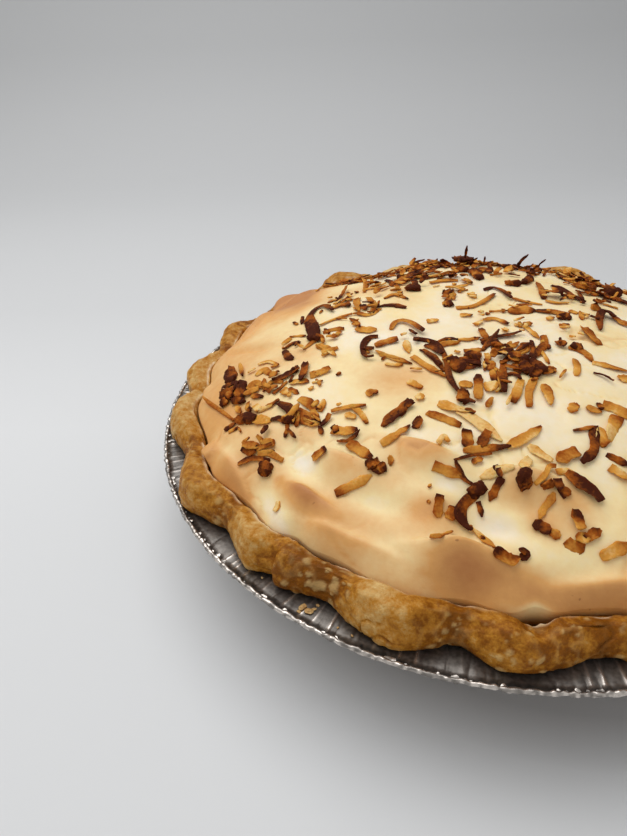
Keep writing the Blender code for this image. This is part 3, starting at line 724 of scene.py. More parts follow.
def noise_node(made, scale, detail=3.0, roughness=0.5):
    """Noise over the object's own coordinates, whose scale is lumps a metre."""
    place = add_node(made, "ShaderNodeTexCoord")
    noise = add_node(made, "ShaderNodeTexNoise")
    noise.inputs["Scale"].default_value = scale
    noise.inputs["Detail"].default_value = detail
    noise.inputs["Roughness"].default_value = roughness
    join_nodes(made, place.outputs["Object"], noise.inputs["Vector"])
    return noise.outputs["Fac"]


def attribute_node(made, name):
    return add_node(made, "ShaderNodeAttribute", attribute_name=name).outputs["Fac"]


def math_node(made, operation, *values):
    """A Math node over sockets or numbers."""
    node = add_node(made, "ShaderNodeMath", operation=operation)
    for slot, value in zip(node.inputs, values):
        if isinstance(value, (int, float)):
            slot.default_value = value
        else:
            join_nodes(made, value, slot)
    return node.outputs["Value"]


def ramp_node(made, source, stops):
    """A colour ramp with the given places and colours."""
    ramp = add_node(made, "ShaderNodeValToRGB")
    elements = ramp.color_ramp.elements
    while len(elements) < len(stops):
        elements.new(0.5)
    for element, (place, colour) in zip(elements, stops):
        element.position = place
        element.color = (*colour, 1)
    join_nodes(made, source, ramp.inputs["Fac"])
    return ramp.outputs["Color"]


def mix_colours(made, factor, first, second):
    mix = add_node(made, "ShaderNodeMix", data_type="RGBA")
    join_nodes(made, factor, mix.inputs["Factor"])
    for name, value in (("A", first), ("B", second)):
        slot = [s for s in mix.inputs if s.name == name and s.type == "RGBA"][0]
        if hasattr(value, "links"):
            join_nodes(made, value, slot)
        else:
            slot.default_value = (*value, 1)
    return [s for s in mix.outputs if s.type == "RGBA"][0]


def let_light_in(shader, weight, radius, depth):
    """Light spreads under the surface, and farther in red than in blue."""
    shader.inputs["Subsurface Weight"].default_value = weight
    shader.inputs["Subsurface Radius"].default_value = radius
    shader.inputs["Subsurface Scale"].default_value = depth


def bump_node(made, shader, height, distance, strength):
    bump = add_node(made, "ShaderNodeBump")
    bump.inputs["Distance"].default_value = distance
    bump.inputs["Strength"].default_value = strength
    join_nodes(made, height, bump.inputs["Height"])
    join_nodes(made, bump.outputs["Normal"], shader.inputs["Normal"])


def polar_table(degrees, sections):
    """3-D points from radius and height: one row a column of the turned shape."""
    angle = np.radians(degrees)[:, None]
    return np.stack([sections[..., 0] * np.cos(angle), sections[..., 0] * np.sin(angle),
                     sections[..., 1]], axis=-1)


def table_normals(points):
    around = np.roll(points, -1, axis=0) - np.roll(points, 1, axis=0)
    along = np.gradient(points, axis=1)
    normals = np.cross(around, along)
    length = np.linalg.norm(normals, axis=-1, keepdims=True)
    return normals / np.maximum(length, 1e-12)


def mesh_of(shape, name):
    """A mesh made from the bmesh, which is then freed."""
    data = bpy.data.meshes.new(name)
    shape.to_mesh(data)
    shape.free()
    return data


def mesh_spots(data):
    spots = np.empty(len(data.vertices) * 3)
    data.vertices.foreach_get("co", spots)
    return spots.reshape(-1, 3)


def finished_piece(name, data, made, values):
    """Gives the mesh its attributes and material, and links it as a piece."""
    for title, numbers in values.items():
        layer = data.attributes.new(title, "FLOAT", "POINT")
        layer.data.foreach_set("value", numbers.astype(np.float32))
    data.update()
    data.materials.append(made)
    piece = bpy.data.objects.new(name, data)
    bpy.context.scene.collection.objects.link(piece)
    return piece


def spun_piece(name, points, made, values):
    """Spins the first column of the table into a wedge and the wedge into the whole turn.

    Each vertex then moves to its place in the table.
    """
    columns, rings, _ = points.shape
    shape = bmesh.new()
    ring = shape.verts.layers.int.new("ring")
    start = []
    for index in range(rings):
        radius = float(np.hypot(points[0, index, 0], points[0, index, 1]))
        vert = shape.verts.new((radius, 0, points[0, index, 2]))
        vert[ring] = index
        start.append(vert)
    edges = [shape.edges.new(pair) for pair in zip(start, start[1:])]
    wedge = 2 * math.pi / WEDGES
    bmesh.ops.spin(shape, geom=start + edges, cent=(0, 0, 0), axis=(0, 0, 1),
                   angle=wedge, steps=columns // WEDGES)
    whole = shape.verts[:] + shape.edges[:] + shape.faces[:]
    bmesh.ops.spin(shape, geom=whole, cent=(0, 0, 0), axis=(0, 0, 1),
                   angle=wedge * (WEDGES - 1), steps=WEDGES - 1, use_duplicate=True)
    bmesh.ops.remove_doubles(shape, verts=shape.verts, dist=0.001 * MM)
    bmesh.ops.recalc_face_normals(shape, faces=shape.faces)
    data = mesh_of(shape, name)
    spots = mesh_spots(data)
    rows = np.empty(len(spots), dtype=np.int32)
    data.attributes["ring"].data.foreach_get("value", rows)
    turn = np.mod(np.arctan2(spots[:, 1], spots[:, 0]) / (2 * np.pi), 1)
    place = np.rint(turn * columns).astype(int) % columns
    data.vertices.foreach_set("co", points[place, rows].ravel())
    data.attributes.remove(data.attributes["ring"])
    data.shade_smooth()
    return finished_piece(name, data, made,
                          {title: table[place, rows] for title, table in values.items()})


def smooth_sections(sections, first, last, steps):
    """Rounds the sections between two of their points with a Catmull-Rom curve."""
    rows = [sections[:, index] for index in range(first)]
    for index in range(first, last):
        before = sections[:, max(index - 1, 0)]
        start, end = sections[:, index], sections[:, index + 1]
        after = sections[:, min(index + 2, sections.shape[1] - 1)]
        rows += [smooth_curve(before, start, end, after, step / steps) for step in range(steps)]
    rows += [sections[:, index] for index in range(last, sections.shape[1])]
    return np.stack(rows, axis=1)


def domes(points, centres, radii):
    """The highest of many round domes at each point, from 0 to 1."""
    flat = points.reshape(-1, 3)
    best = np.zeros(len(flat))
    for centre, radius in zip(centres, radii):
        picked = np.flatnonzero(np.abs(flat[:, 0] - centre[0]) < radius)
        if len(picked) == 0:
            continue
        apart = ((flat[picked] - centre) ** 2).sum(axis=1) / radius ** 2
        best[picked] = np.maximum(best[picked], 1 - apart)
    return best.reshape(points.shape[:-1])


def foil_material(colours):
    made, shader = material("bright_foil")
    shader.inputs["Metallic"].default_value = 0.85
    wear = noise_node(made, 900, detail=4)
    painted_light_and_gloss = attribute_node(made, "painted_light_and_gloss")
    # Painted shade and reflection: where the painted light is low, the foil's colour is dimmed to
    # a fifth to a third, varied by the wear noise.
    flat = ramp_node(made, wear, [
        (0.3, dimmed(colours.foil, 0.17)), (0.7, dimmed(colours.foil, 0.32))])
    tone = mix_colours(made, painted_light_and_gloss, flat, colours.foil)
    join_nodes(made, tone, shader.inputs["Base Color"])
    rough = math_node(made, "MULTIPLY_ADD", wear, 0.18, 0.30)
    gloss = math_node(made, "MULTIPLY", painted_light_and_gloss, -0.18)
    rough = math_node(made, "ADD", rough, gloss)
    join_nodes(made, rough, shader.inputs["Roughness"])
    bump_node(made, shader, wear, 0.05 * MM, 0.6)
    return made


def crease_table(columns, radii, height):
    """Thin radial creases, some in bunches, strongest at the rolled edge.

    Each leans a little from inside to outside.
    """
    draw = random.Random(77)
    degrees = turn_degrees(columns)
    rows, creases = [], []
    angle = 0.0
    while angle < 360:
        bunch = draw.random() < 0.35
        for _ in range(draw.randint(3, 7) if bunch else 1):
            creases.append((angle, draw.uniform(0.2, 0.36), draw.uniform(-1, 1),
                            draw.gauss(0, 0.5), draw.random()))
            angle += draw.uniform(0.5, 0.75)
        angle += draw.uniform(0.3, 1.8)
    inner, outer = radii[0], radii[-1]
    for radius in radii:
        t = (radius - inner) / (outer - inner)
        row = np.zeros(columns)
        for centre, width, rise, lean, fade in creases:
            depth = rise * (0.55 + 0.6 * t if fade > 0.4 else t)
            row += depth * swell(degrees, centre + lean * t, 0.5 * width * (1 + 0.7 * t ** 3))
        rows.append(row)
    return height * np.clip(np.stack(rows, axis=1), -1.6, 1.6)


class PIE_OT_foil_tin(Operator):
    """Models the pressed foil tin with its creased flange and rolled edge"""
    bl_idname = "pie.foil_tin"
    bl_label = "Foil Tin"

    def execute(self, context):
        sizes, colours = context.scene.pie_sizes, context.scene.pie_colours
        degrees = turn_degrees(FOIL_COLUMNS)
        flange_out = TIN_RIM_RADIUS - 2 * BEAD_RADIUS
        bead_middle = TIN_RIM_RADIUS - BEAD_RADIUS
        bead_height = TIN_DEPTH + 0.4 * MM
        flange = np.linspace(TIN_MOUTH_RADIUS + FOIL_WALL, flange_out, FLANGE_RINGS)
        bead = [math.radians(v) for v in (-110, -65, -20, 20, 65, 110, 150)]
        foot = TIN_BASE_RADIUS + BASE_CORNER
        under = [(0, 0), (0.5 * TIN_BASE_RADIUS, 0), (TIN_BASE_RADIUS, 0),
                 (TIN_BASE_RADIUS + 0.6 * BASE_CORNER, 0.3 * BASE_CORNER),
                 (foot, BASE_CORNER)]
        side = [(foot + t * (TIN_MOUTH_RADIUS - foot + FOIL_WALL),
                 BASE_CORNER + t * (TIN_DEPTH - BASE_CORNER))
                for t in np.linspace(0.12, 0.94, SIDE_RINGS)]
        below = [(radius, TIN_DEPTH) for radius in flange]
        roll = [(bead_middle + BEAD_RADIUS * math.cos(v), bead_height + BEAD_RADIUS * math.sin(v))
                for v in bead]
        above = [(radius, TIN_DEPTH + FOIL_WALL) for radius in flange[::-1]]
        inside = [(radius - 1.6 * FOIL_WALL, height) for radius, height in side[::-1][::2]]
        floor = [(TIN_BASE_RADIUS - FOIL_WALL, FOIL_WALL), (0, FOIL_WALL)]
        profile = np.array(under + side + below + roll + above + inside + floor)
        sections = np.repeat(profile[None], FOIL_COLUMNS, axis=0)
        creases = crease_table(FOIL_COLUMNS, flange, sizes.crease_height)
        first = len(under) + len(side)
        sections[:, first:first + FLANGE_RINGS, 1] += creases
        top = first + FLANGE_RINGS + len(roll)
        sections[:, top:top + FLANGE_RINGS, 1] += creases[:, ::-1]
        pleat = np.abs(np.sin(np.radians(degrees) * PLEATS))
        for offset, index in enumerate(range(len(under), first)):
            fade = math.sin(math.pi * (offset + 1) / (len(side) + 1))
            sections[:, index, 0] += sizes.pleat_depth * fade * (1.3 * pleat - 0.3)
        points = polar_table(degrees, sections)
        nicks = grid_noise(points, 1.1 * MM, 11) * 0.34 + grid_noise(points, 6 * MM, 12) * 0.10
        rim = slice(first + FLANGE_RINGS - 1, top + 1)
        normals = table_normals(points)
        points[:, rim] += normals[:, rim] * (nicks[:, rim, None] * MM - 0.12 * MM)
        waviness = grid_noise(points * np.array([1, 1, 0]), 24 * MM, 13) * 0.08 * MM
        flanges = slice(first, top + FLANGE_RINGS)
        points[:, flanges, 2] += waviness[:, flanges]
        # Painted light in the foil's colour, which also makes it glossier: at 1 the foil keeps its
        # full colour, lower it is painted darker. The side's pleats get painted light and dark
        # streaks.
        painted_light_and_gloss = np.ones(points.shape[:2])
        painted_light_and_gloss[:, len(under):first] = np.clip(1.7 * pleat[:, None] - 0.5, 0.1, 1)
        # Painted glints on the flange's crease crests, and a painted dark line beside the bead.
        painted_crease_glints = 1.2 * np.clip(creases[:, ::-1] / sizes.crease_height, 0, 1)
        painted_light_and_gloss[:, top + 1:flanges.stop] = np.clip(painted_crease_glints[:, 1:], 0, 1)
        painted_light_and_gloss[:, top] = 0
        # A painted sparkle on the rolled bead.
        painted_bead_sparkle = 0.5 + 1.1 * grid_noise(points, 0.9 * MM, 14)
        painted_light_and_gloss[:, rim.start:top] = np.clip(painted_bead_sparkle[:, rim.start:top], 0.12, 1)
        piece = spun_piece("foil_pan", points, foil_material(colours), {"painted_light_and_gloss": painted_light_and_gloss})
        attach(piece, "root")
        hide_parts("foil_tin")
        return {"FINISHED"}


def crust_sections(degrees):
    """The solids' section at each angle, with a deeper lap, a notch and a steeper inner edge."""
    seam = seam_radius(degrees)
    step = lap_step(degrees) - lap_notch(degrees)
    outer, top = rim_outer(degrees) - step, rim_top(degrees) - 0.5 * step
    clear = GAP + FACET_SLACK
    ones = np.ones(len(degrees))
    dip = NOTCH_DIP * swell(degrees, NOTCH_ANGLE, NOTCH_SPREAD)
    base = FOIL_WALL + 2 * GAP
    rows = [
        (0 * ones, base * ones),
        ((TIN_BASE_RADIUS - FOIL_WALL - clear) * ones, base * ones),
        ((TIN_BASE_RADIUS + BASE_CORNER - 2 * FOIL_WALL - clear) * ones,
         (BASE_CORNER + clear) * ones),
        ((TIN_MOUTH_RADIUS - 2 * clear) * ones, RIM_FOOT * ones),
        (outer - FOOT_TUCK, RIM_FOOT * ones),
        (outer, (RIM_FOOT + BELLY_RISE) * ones),
        (outer - SHOULDER_TUCK, (RIM_FOOT + SHOULDER_RISE) * ones),
        (outer - CROWN_TUCK, top - CROWN_DROP - 0.4 * dip),
        (0.5 * (outer + seam), top - 0.7 * dip),
        (seam + INNER_TUCK, top - INNER_DROP - dip),
        (seam, SEAM_HEIGHT - SEAM_STEP - 0.6 * dip),
        (seam, FILLING_TOP * ones),
        (0 * ones, FILLING_TOP * ones),
    ]
    return np.stack([np.stack(row, axis=-1) for row in rows], axis=1)


def pastry_material(colours):
    made, shader = material("baked_pastry")
    # The pastry's browning, which also carries painted shade in its cracks and folds.
    bake_and_painted_shade = attribute_node(made, "bake_and_painted_shade")
    pale = attribute_node(made, "pale")
    cloud = noise_node(made, 330, detail=6, roughness=0.65)
    fine = noise_node(made, 1300, detail=4)
    tone = math_node(made, "ADD", bake_and_painted_shade, math_node(made, "MULTIPLY_ADD", cloud, 1.5, -0.78))
    tone = math_node(made, "ADD", tone, math_node(made, "MULTIPLY_ADD", fine, 0.3, -0.15))
    baked = ramp_node(made, tone, [
        (0.0, colours.blister), (0.2, between(colours.pastry, colours.blister)),
        (0.45, colours.pastry), (0.75, colours.pastry_dark),
        (1.0, dimmed(colours.pastry_dark, 0.72))])
    spots = math_node(made, "MULTIPLY", pale, 0.5)
    colour = mix_colours(made, spots, baked, colours.blister)
    colour = mix_colours(made, attribute_node(made, "flake"), colour, colours.flake)
    join_nodes(made, colour, shader.inputs["Base Color"])
    shader.inputs["Roughness"].default_value = 0.5
    shader.inputs["Specular IOR Level"].default_value = 0.16
    let_light_in(shader, 0.06, (1.0, 0.5, 0.25), 2 * MM)
    bump_node(made, shader, fine, 0.45 * MM, 0.9)
    return made


class PIE_OT_crust(Operator):
    """Models the blistered, crimped rope of pastry and the case under it"""
    bl_idname = "pie.crust"
    bl_label = "Crust"

    def execute(self, context):
        sizes, colours = context.scene.pie_sizes, context.scene.pie_colours
        degrees = turn_degrees(CRUST_COLUMNS)
        sections = smooth_sections(crust_sections(degrees), ROPE_FIRST, ROPE_LAST, ROPE_STEPS)
        points = polar_table(degrees, sections)
        rim = slice(ROPE_FIRST + 1, ROPE_FIRST + (ROPE_LAST - ROPE_FIRST) * ROPE_STEPS + 1)
        normals = table_normals(points)
        rough = 0.75 * grid_noise(points, 9 * MM, 21) + 0.42 * grid_noise(points, 3.6 * MM, 22)
        rough += 0.24 * grid_noise(points, 1.6 * MM, 23)
        draw = random.Random(5)
        centres, radii = [], []
        for _ in range(sizes.blister_count):
            column = draw.randrange(CRUST_COLUMNS)
            centres.append(points[column, draw.randrange(rim.start + 6, rim.stop - 2)])
            radii.append(draw.choice(BLISTER_RADII) * draw.uniform(0.8, 1.2) * MM)
        moved = points + 0.8 * MM * drift(points, 2.2 * MM, (28, 29, 30))
        blister = domes(moved, centres, radii)
        blister *= np.clip(0.5 + 0.9 * grid_noise(points, 9 * MM, 27), 0.1, 1)
        wander = grid_noise(points, 10 * MM, 25) + 0.4 * grid_noise(points, 4 * MM, 26)
        where = np.clip(2.2 * grid_noise(points, 17 * MM, 33) + 0.2, 0, 1)
        crack = np.clip(1 - np.abs(wander) / 0.09, 0, 1) * where
        fold = (1 - lobe_wave(degrees)[0])[:, None] ** 10
        vein = grid_noise(points, 5.5 * MM, 36) + 0.4 * grid_noise(points, 2.4 * MM, 37)
        vein = np.clip(1 - np.abs(vein) / 0.24, 0, 1)
        vein = smooth_step(vein * np.clip(0.6 + 1.2 * grid_noise(points, 13 * MM, 38), 0, 1))
        push = rough * 0.8 * MM + blister * sizes.blister_height + 0.20 * MM * vein
        push = push - crack * sizes.crack_depth - fold * sizes.crack_depth
        rings = np.arange(points.shape[1])
        fade = np.clip((rings - rim.start) / 6, 0, 1) * np.clip((rim.stop - rings) / 4, 0, 1)
        points += normals * (push * fade)[..., None]
        near_seam = np.exp(-((rings - rim.stop + 9) / 2.4) ** 2)
        torn = np.clip(0.45 + 1.1 * grid_noise(points, 5 * MM, 24), 0, 1) * near_seam
        points[..., 2] += torn * (0.45 + 0.35 * grid_noise(points, 1.3 * MM, 34)) * MM
        height = (points[..., 2] - RIM_FOOT) / (12 * MM)
        # The pastry's browning, with painted shade: the cracks and the pinches' folds are painted
        # darker, and the pastry is darker lower down, below about 4 mm over the rope's foot.
        bake_and_painted_shade = 0.52 - 0.12 * rough + 0.25 * np.clip(0.35 - height, 0, 1)
        bake_and_painted_shade = bake_and_painted_shade + 0.30 * crack + 0.25 * fold - 0.10 * near_seam + 0.07 - 0.10 * vein
        bake_and_painted_shade = bake_and_painted_shade + sum(much * swell(degrees, middle, spread)
                          for middle, spread, much in BAKED)[:, None]
        pale = np.maximum(smooth_step(np.clip(blister * 1.9 - 0.1, 0, 1)), 0.30 * vein) * fade
        thin_edge = np.exp(-((rings - rim.stop + 8.6) / 1.9) ** 2)
        flake = 0.9 * np.clip(0.45 + 1.8 * grid_noise(points, 3.2 * MM, 35), 0, 1) * thin_edge
        piece = spun_piece("pastry_rim", points, pastry_material(colours),
                           {"bake_and_painted_shade": bake_and_painted_shade, "pale": pale, "flake": flake})
        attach(piece, "root")
        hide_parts("crust")
        return {"FINISHED"}


def meringue_material(colours):
    made, shader = material("baked_meringue")
    toast = attribute_node(made, "toast")
    cloud = noise_node(made, 420, detail=4)
    tone = math_node(made, "ADD", toast, math_node(made, "MULTIPLY_ADD", cloud, 0.16, -0.08))
    baked = ramp_node(made, tone, [(0.02, colours.hollow), (0.32, colours.cream),
                                   (0.66, colours.tan), (0.98, colours.browned)])
    spots = noise_node(made, 760, detail=0)
    pores = ramp_node(made, spots, [(0.81, (0, 0, 0)), (0.86, (0.55, 0.55, 0.55))])
    where = ramp_node(made, toast, [(0.52, (0, 0, 0)), (0.7, (1, 1, 1))])
    pores = math_node(made, "MULTIPLY", pores, where)
    dotted = mix_colours(made, pores, baked, colours.pore)
    join_nodes(made, dotted, shader.inputs["Base Color"])
    shader.inputs["Roughness"].default_value = 0.55
    let_light_in(shader, 0.15, (1.0, 0.7, 0.4), 2 * MM)
    fine = noise_node(made, 900, detail=4)
    bump_node(made, shader, fine, 0.12 * MM, 0.5)
    return made


class PIE_OT_meringue(Operator):
    """Models the swirled meringue dome, browned on its crests"""
    bl_idname = "pie.meringue"
    bl_label = "Meringue"

    def execute(self, context):
        colours = context.scene.pie_colours
        degrees = turn_degrees(MERINGUE_COLUMNS)
        notch = NOTCH_DEPTH * swell(degrees, NOTCH_ANGLE, NOTCH_SPREAD)
        edge = seam_radius(degrees) - GAP - FACET_SLACK - notch
        angle = np.radians(degrees)
        floor = FILLING_TOP + GAP
        steps = np.linspace(0, 1, MERINGUE_RINGS) ** 1.25
        lap = sum(reach * MM * swell(degrees, middle, spread)
                  for middle, spread, reach in OVERLAPS)
        lip = edge + np.maximum(lap - 0.3 * MM, 0)
        radius = lip[:, None] * (1 - steps[None, :])
        radius[:, 0] = edge - 0.25 * MM
        x, y = radius * np.cos(angle)[:, None], radius * np.sin(angle)[:, None]
        height = meringue_top(x, y)
        cover = 2.2 * MM * (1 - np.exp((radius - lip[:, None]) / (2 * MM)))
        cover = cover + rim_top(degrees)[:, None] + 0.4 * MM
        share = smooth_step(np.clip(lap / (2 * MM), 0, 1))[:, None]
        height[:, 1:] += (share * np.maximum(cover - height, 0))[:, 1:]
        low = np.stack([np.stack([0 * edge, 0 * edge + floor], axis=-1),
                        np.stack([radius[:, 0], 0 * edge + floor], axis=-1)], axis=1)
        sections = np.concatenate([low, np.stack([radius, height], axis=-1)], axis=1)
        points = polar_table(degrees, sections)
        brown = meringue_browning(x, y)
        bare = 0.55 * notch / NOTCH_DEPTH
        brown *= 1 - bare[:, None] * np.exp(-((edge[:, None] - radius) / (1.2 * MM)) ** 2)
        toast = np.concatenate([np.full((MERINGUE_COLUMNS, 2), 0.3), brown], axis=1)
        normals = table_normals(points)
        soft = 0.30 * grid_noise(points, 7 * MM, 31) + 0.10 * grid_noise(points, 2.6 * MM, 32)
        wander = grid_noise(points, 15 * MM, 41) + 0.3 * grid_noise(points, 5 * MM, 42)
        where = np.clip(2.5 * grid_noise(points, 22 * MM, 43), 0, 1)
        wrinkle = np.clip(1 - np.abs(wander) / 0.07, 0, 1) * where
        soft = soft - 0.45 * wrinkle
        # The wrinkles' grooves are also coloured browner, as painted shade.
        toast = np.clip(toast + 0.12 * wrinkle, 0, 1)
        fade = np.clip((np.arange(points.shape[1]) - 2) / 8, 0, 1)
        points += normals * (soft * fade * MM)[..., None]
        piece = spun_piece("meringue_dome", points, meringue_material(colours), {"toast": toast})
        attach(piece, "root")
        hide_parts("meringue")
        return {"FINISHED"}


def shred_template(rings, sides):
    """A capped tube a unit long and a unit across, with its rings along Z."""
    shape = bmesh.new()
    bmesh.ops.create_cone(shape, cap_ends=True, cap_tris=False, segments=sides,
                          radius1=0.5, radius2=0.5, depth=1)
    long_edges = [edge for edge in shape.edges
                  if abs(edge.verts[0].co.z - edge.verts[1].co.z) > 0.5]
    bmesh.ops.subdivide_edges(shape, edges=long_edges, cuts=rings - 2)
    return shape


def curve_through(spots, count):
    """Evenly spaced points on a smooth curve through the spots."""
    if len(spots) == 2:
        spots = np.array([spots[0], 0.5 * (spots[0] + spots[1]), spots[1]])
    padded = np.vstack([2 * spots[0] - spots[1], spots, 2 * spots[-1] - spots[-2]])
    fine = []
    for index in range(1, len(padded) - 2):
        near = padded[index - 1:index + 3]
        fine += [smooth_curve(*near, t) for t in np.linspace(0, 1, 12, endpoint=False)]
    fine.append(padded[-2])
    fine = np.array(fine)
    travelled = np.concatenate([[0], np.cumsum(np.linalg.norm(np.diff(fine, axis=0), axis=1))])
    wanted = np.linspace(0, travelled[-1], count)
    return np.stack([np.interp(wanted, travelled, fine[:, axis]) for axis in range(3)], axis=1)


def surface_normal(x, y):
    step = 0.8 * MM
    slope_x = (meringue_top(x + step, y) - meringue_top(x - step, y)) / (2 * step)
    slope_y = (meringue_top(x, y + step) - meringue_top(x, y - step)) / (2 * step)
    normal = np.stack([-slope_x, -slope_y, np.ones(np.shape(x))], axis=-1)
    return normal / np.linalg.norm(normal, axis=-1, keepdims=True)


def bend_shred(template, path, width, toast, thickness, crumple, draw):
    """Lays the template tube along the path as a thin, curled, uneven strip.

    Where it is to be crumpled it becomes a rough lump instead.
    """
    rings = len(path)
    tangent = np.gradient(path, axis=0)
    tangent /= np.linalg.norm(tangent, axis=1, keepdims=True)
    normal = surface_normal(path[:, 0], path[:, 1])
    side = np.cross(normal, tangent)
    side /= np.linalg.norm(side, axis=1, keepdims=True)
    normal = np.cross(tangent, side)
    roll = draw.gauss(0, 0.15) + draw.gauss(0, 0.20) * np.linspace(-1, 1, rings)
    cup = 0 if crumple else draw.uniform(-0.04, 0.20)
    narrow = [draw.uniform(0.40, 0.95), draw.uniform(0.15, 0.85)]
    ripple = [draw.uniform(0, 6.3) for _ in range(3)]
    along = np.linspace(0, 1, rings)
    breadth = np.interp(along, [0, 0.2, 0.72, 1], [narrow[0], 1, 1, narrow[1]])
    breadth = breadth * (1 + 0.10 * np.sin(along * 9 + ripple[0])
                         + 0.05 * np.sin(along * 23 + ripple[1]))
    if crumple:
        breadth = np.sqrt(1 - 0.9 * (2 * along - 1) ** 4)
    row = np.rint((template[:, 2] + 0.5) * (rings - 1)).astype(int)
    across = template[:, 0] * 2
    lid = template[:, 1] * 2
    wide = across * 0.5 * width * breadth[row]
    tall = lid * 0.5 * thickness * (breadth[row] if crumple else 1)
    tall = tall + cup * width * (across ** 2 - 0.15)
    tall = tall + 0.12 * thickness * np.sin(wide / width * 14 + row * 0.9 + ripple[2])
    turn = roll[row]
    flat = wide * np.cos(turn) - tall * np.sin(turn)
    rise = wide * np.sin(turn) + tall * np.cos(turn)
    spots = path[row] + side[row] * flat[:, None] + normal[row] * rise[:, None]
    ends = np.abs(along[row] - 0.5) * 2
    browned = toast + 0.12 * (ends - 0.5) + 0.10 * np.sin(along[row] * 7 + ripple[0])
    browned = browned + draw.gauss(0, 0.30) * (along[row] - 0.5)
    if draw.random() < 0.35:
        browned = browned + 0.4 * np.clip((along[row] - 0.72) / 0.2, 0, 1)
    crinkle = drift(spots, 1.5 * MM, (51, 52, 53))
    if crumple:
        crinkle += 0.6 * drift(spots, 0.7 * MM, (54, 55, 56))
        browned = browned + 0.12 * crinkle[:, 2]
    spots = spots + crinkle * (crumple or (0.08 + 0.22 * toast) * thickness)
    return spots, np.clip(browned + draw.uniform(-0.2, 0.2) * across, 0, 1)


def path_over(steps, lifts):
    """The steps with their heights over the meringue, raised by the lifts."""
    return np.column_stack([steps, meringue_top(steps[:, 0], steps[:, 1]) + lifts])


def far_paths(draw):
    """Shreds strewn over the heaps that the photograph doesn't show."""
    paths = []
    for x, y, spread, count in FAR_HEAPS:
        for _ in range(count):
            spot = np.array([x + draw.gauss(0, 0.55) * spread, y + draw.gauss(0, 0.55) * spread])
            heading, curl = draw.uniform(0, 2 * math.pi), draw.gauss(0, 0.5)
            length = draw.uniform(*FAR_LENGTH)
            steps = []
            for _ in range(FAR_POINTS):
                steps.append(spot * MM)
                spot = spot + pointing(heading) * length / (FAR_POINTS - 1)
                heading += curl
            steps = np.array(steps)
            if farthest(steps) > FAR_LIMIT_RADIUS:
                steps *= FAR_LIMIT_RADIUS / farthest(steps)
            lift = draw.choice(FAR_LIFTS) * MM
            path = path_over(steps, lift * np.linspace(0, 1, FAR_POINTS) ** 2)
            toast = draw.choice(FAR_TOASTS)
            paths.append((path, draw.uniform(*FAR_WIDTH), toast))
    return paths


def landed_path(places, lift):
    """The points where a row's pixels land on the meringue, the last raised by the lift."""
    pixels = list(zip(places[::2], places[1::2]))
    return land_on_meringue(pixels, lift * MM * np.linspace(0, 1, len(pixels)) ** 2)


def shown_paths():
    """The shreds that the photograph shows, landed on the meringue."""
    return [(landed_path(places, lift), width, toast) for width, toast, lift, *places in SHREDS]


def clump_paths():
    return [(landed_path(places, 0), width, toast) for width, toast, *places in CLUMPS]


def litter_paths(draw):
    """Short shreds strewn thickly where the photograph shows belts of them."""
    pixels, toasts = [], []
    for (across, down), (wide, high), count, toast in LITTER:
        for _ in range(count):
            pixels.append((draw.gauss(across, 0.6 * wide), draw.gauss(down, 0.6 * high)))
            toasts.append(min(max(draw.gauss(toast, 0.2), 0.12), 0.97))
    middles = land_on_meringue(pixels, np.zeros(len(pixels)))
    paths = []
    for middle, toast in zip(middles, toasts):
        heading, bend = draw.uniform(0, 2 * math.pi), draw.gauss(0, 0.6)
        half = 0.5 * draw.uniform(*LITTER_LENGTH)
        tail = middle[:2] - half * pointing(heading)
        tip = middle[:2] + half * pointing(heading + bend)
        steps = np.array([tail, middle[:2], tip])
        if farthest(steps) > LITTER_LIMIT_RADIUS:
            continue
        lift = draw.choice(LITTER_LIFTS) * MM
        path = path_over(steps, lift * np.array([0.6, 1, draw.uniform(0.6, 2)]))
        paths.append((path, draw.uniform(*LITTER_WIDTH), toast))
    return paths


def scrap_share(middle):
    """The front's shreds lie singly on clean meringue; towards the back they lie in litter."""
    return float(np.interp(middle[1] - 0.4 * middle[0], SCRAP_BELT, SCRAP_SHARES))


def scrap_paths(paths, draw):
    """Short scraps round the shreds, and the more of them where shreds lie close."""
    middles = np.array([path.mean(axis=0) for path, _, _ in paths])
    scraps = []
    for (path, _, toast), middle in zip(paths, middles):
        crowd = int((np.linalg.norm(middles - middle, axis=1) < SCRAP_CROWD_REACH).sum())
        for _ in range(round(scrap_share(middle) * min(SCRAP_MOST, crowd / 2))):
            base = path[draw.randrange(len(path))]
            spot = base[:2] + np.array([draw.gauss(0, 1), draw.gauss(0, 1)]) * SCRAP_SPREAD
            heading = draw.uniform(0, 2 * math.pi)
            reach = pointing(heading) * draw.uniform(*SCRAP_LENGTH)
            ends = np.array([spot - 0.5 * reach, spot + 0.5 * reach])
            if farthest(ends) > SCRAP_LIMIT_RADIUS:
                continue
            lift = draw.choice(SCRAP_LIFTS) * MM
            scrap = path_over(ends, lift * np.array([1, draw.uniform(0.5, 2)]))
            shade = min(max(toast + draw.gauss(-0.08, 0.22), 0.1), 0.97)
            scraps.append((scrap, draw.uniform(*SCRAP_WIDTH), shade))
    return scraps


def coconut_material(colours):
    made, shader = material("toasted_coconut")
    toast = attribute_node(made, "toast")
    streaks = noise_node(made, 1100, detail=4)
    tone = math_node(made, "ADD", toast, math_node(made, "MULTIPLY_ADD", streaks, 0.5, -0.25))
    colour = ramp_node(made, tone, [
        (0.0, colours.shred_pale), (0.24, colours.shred_gold),
        (0.48, between(colours.shred_gold, colours.shred_brown)),
        (0.68, colours.shred_brown), (0.95, colours.shred_dark)])
    join_nodes(made, colour, shader.inputs["Base Color"])
    shader.inputs["Roughness"].default_value = 0.8
    shader.inputs["Specular IOR Level"].default_value = 0.12
    let_light_in(shader, 0.25, (1.0, 0.5, 0.2), 1.2 * MM)
    bump_node(made, shader, streaks, 0.2 * MM, 0.7)
    return made


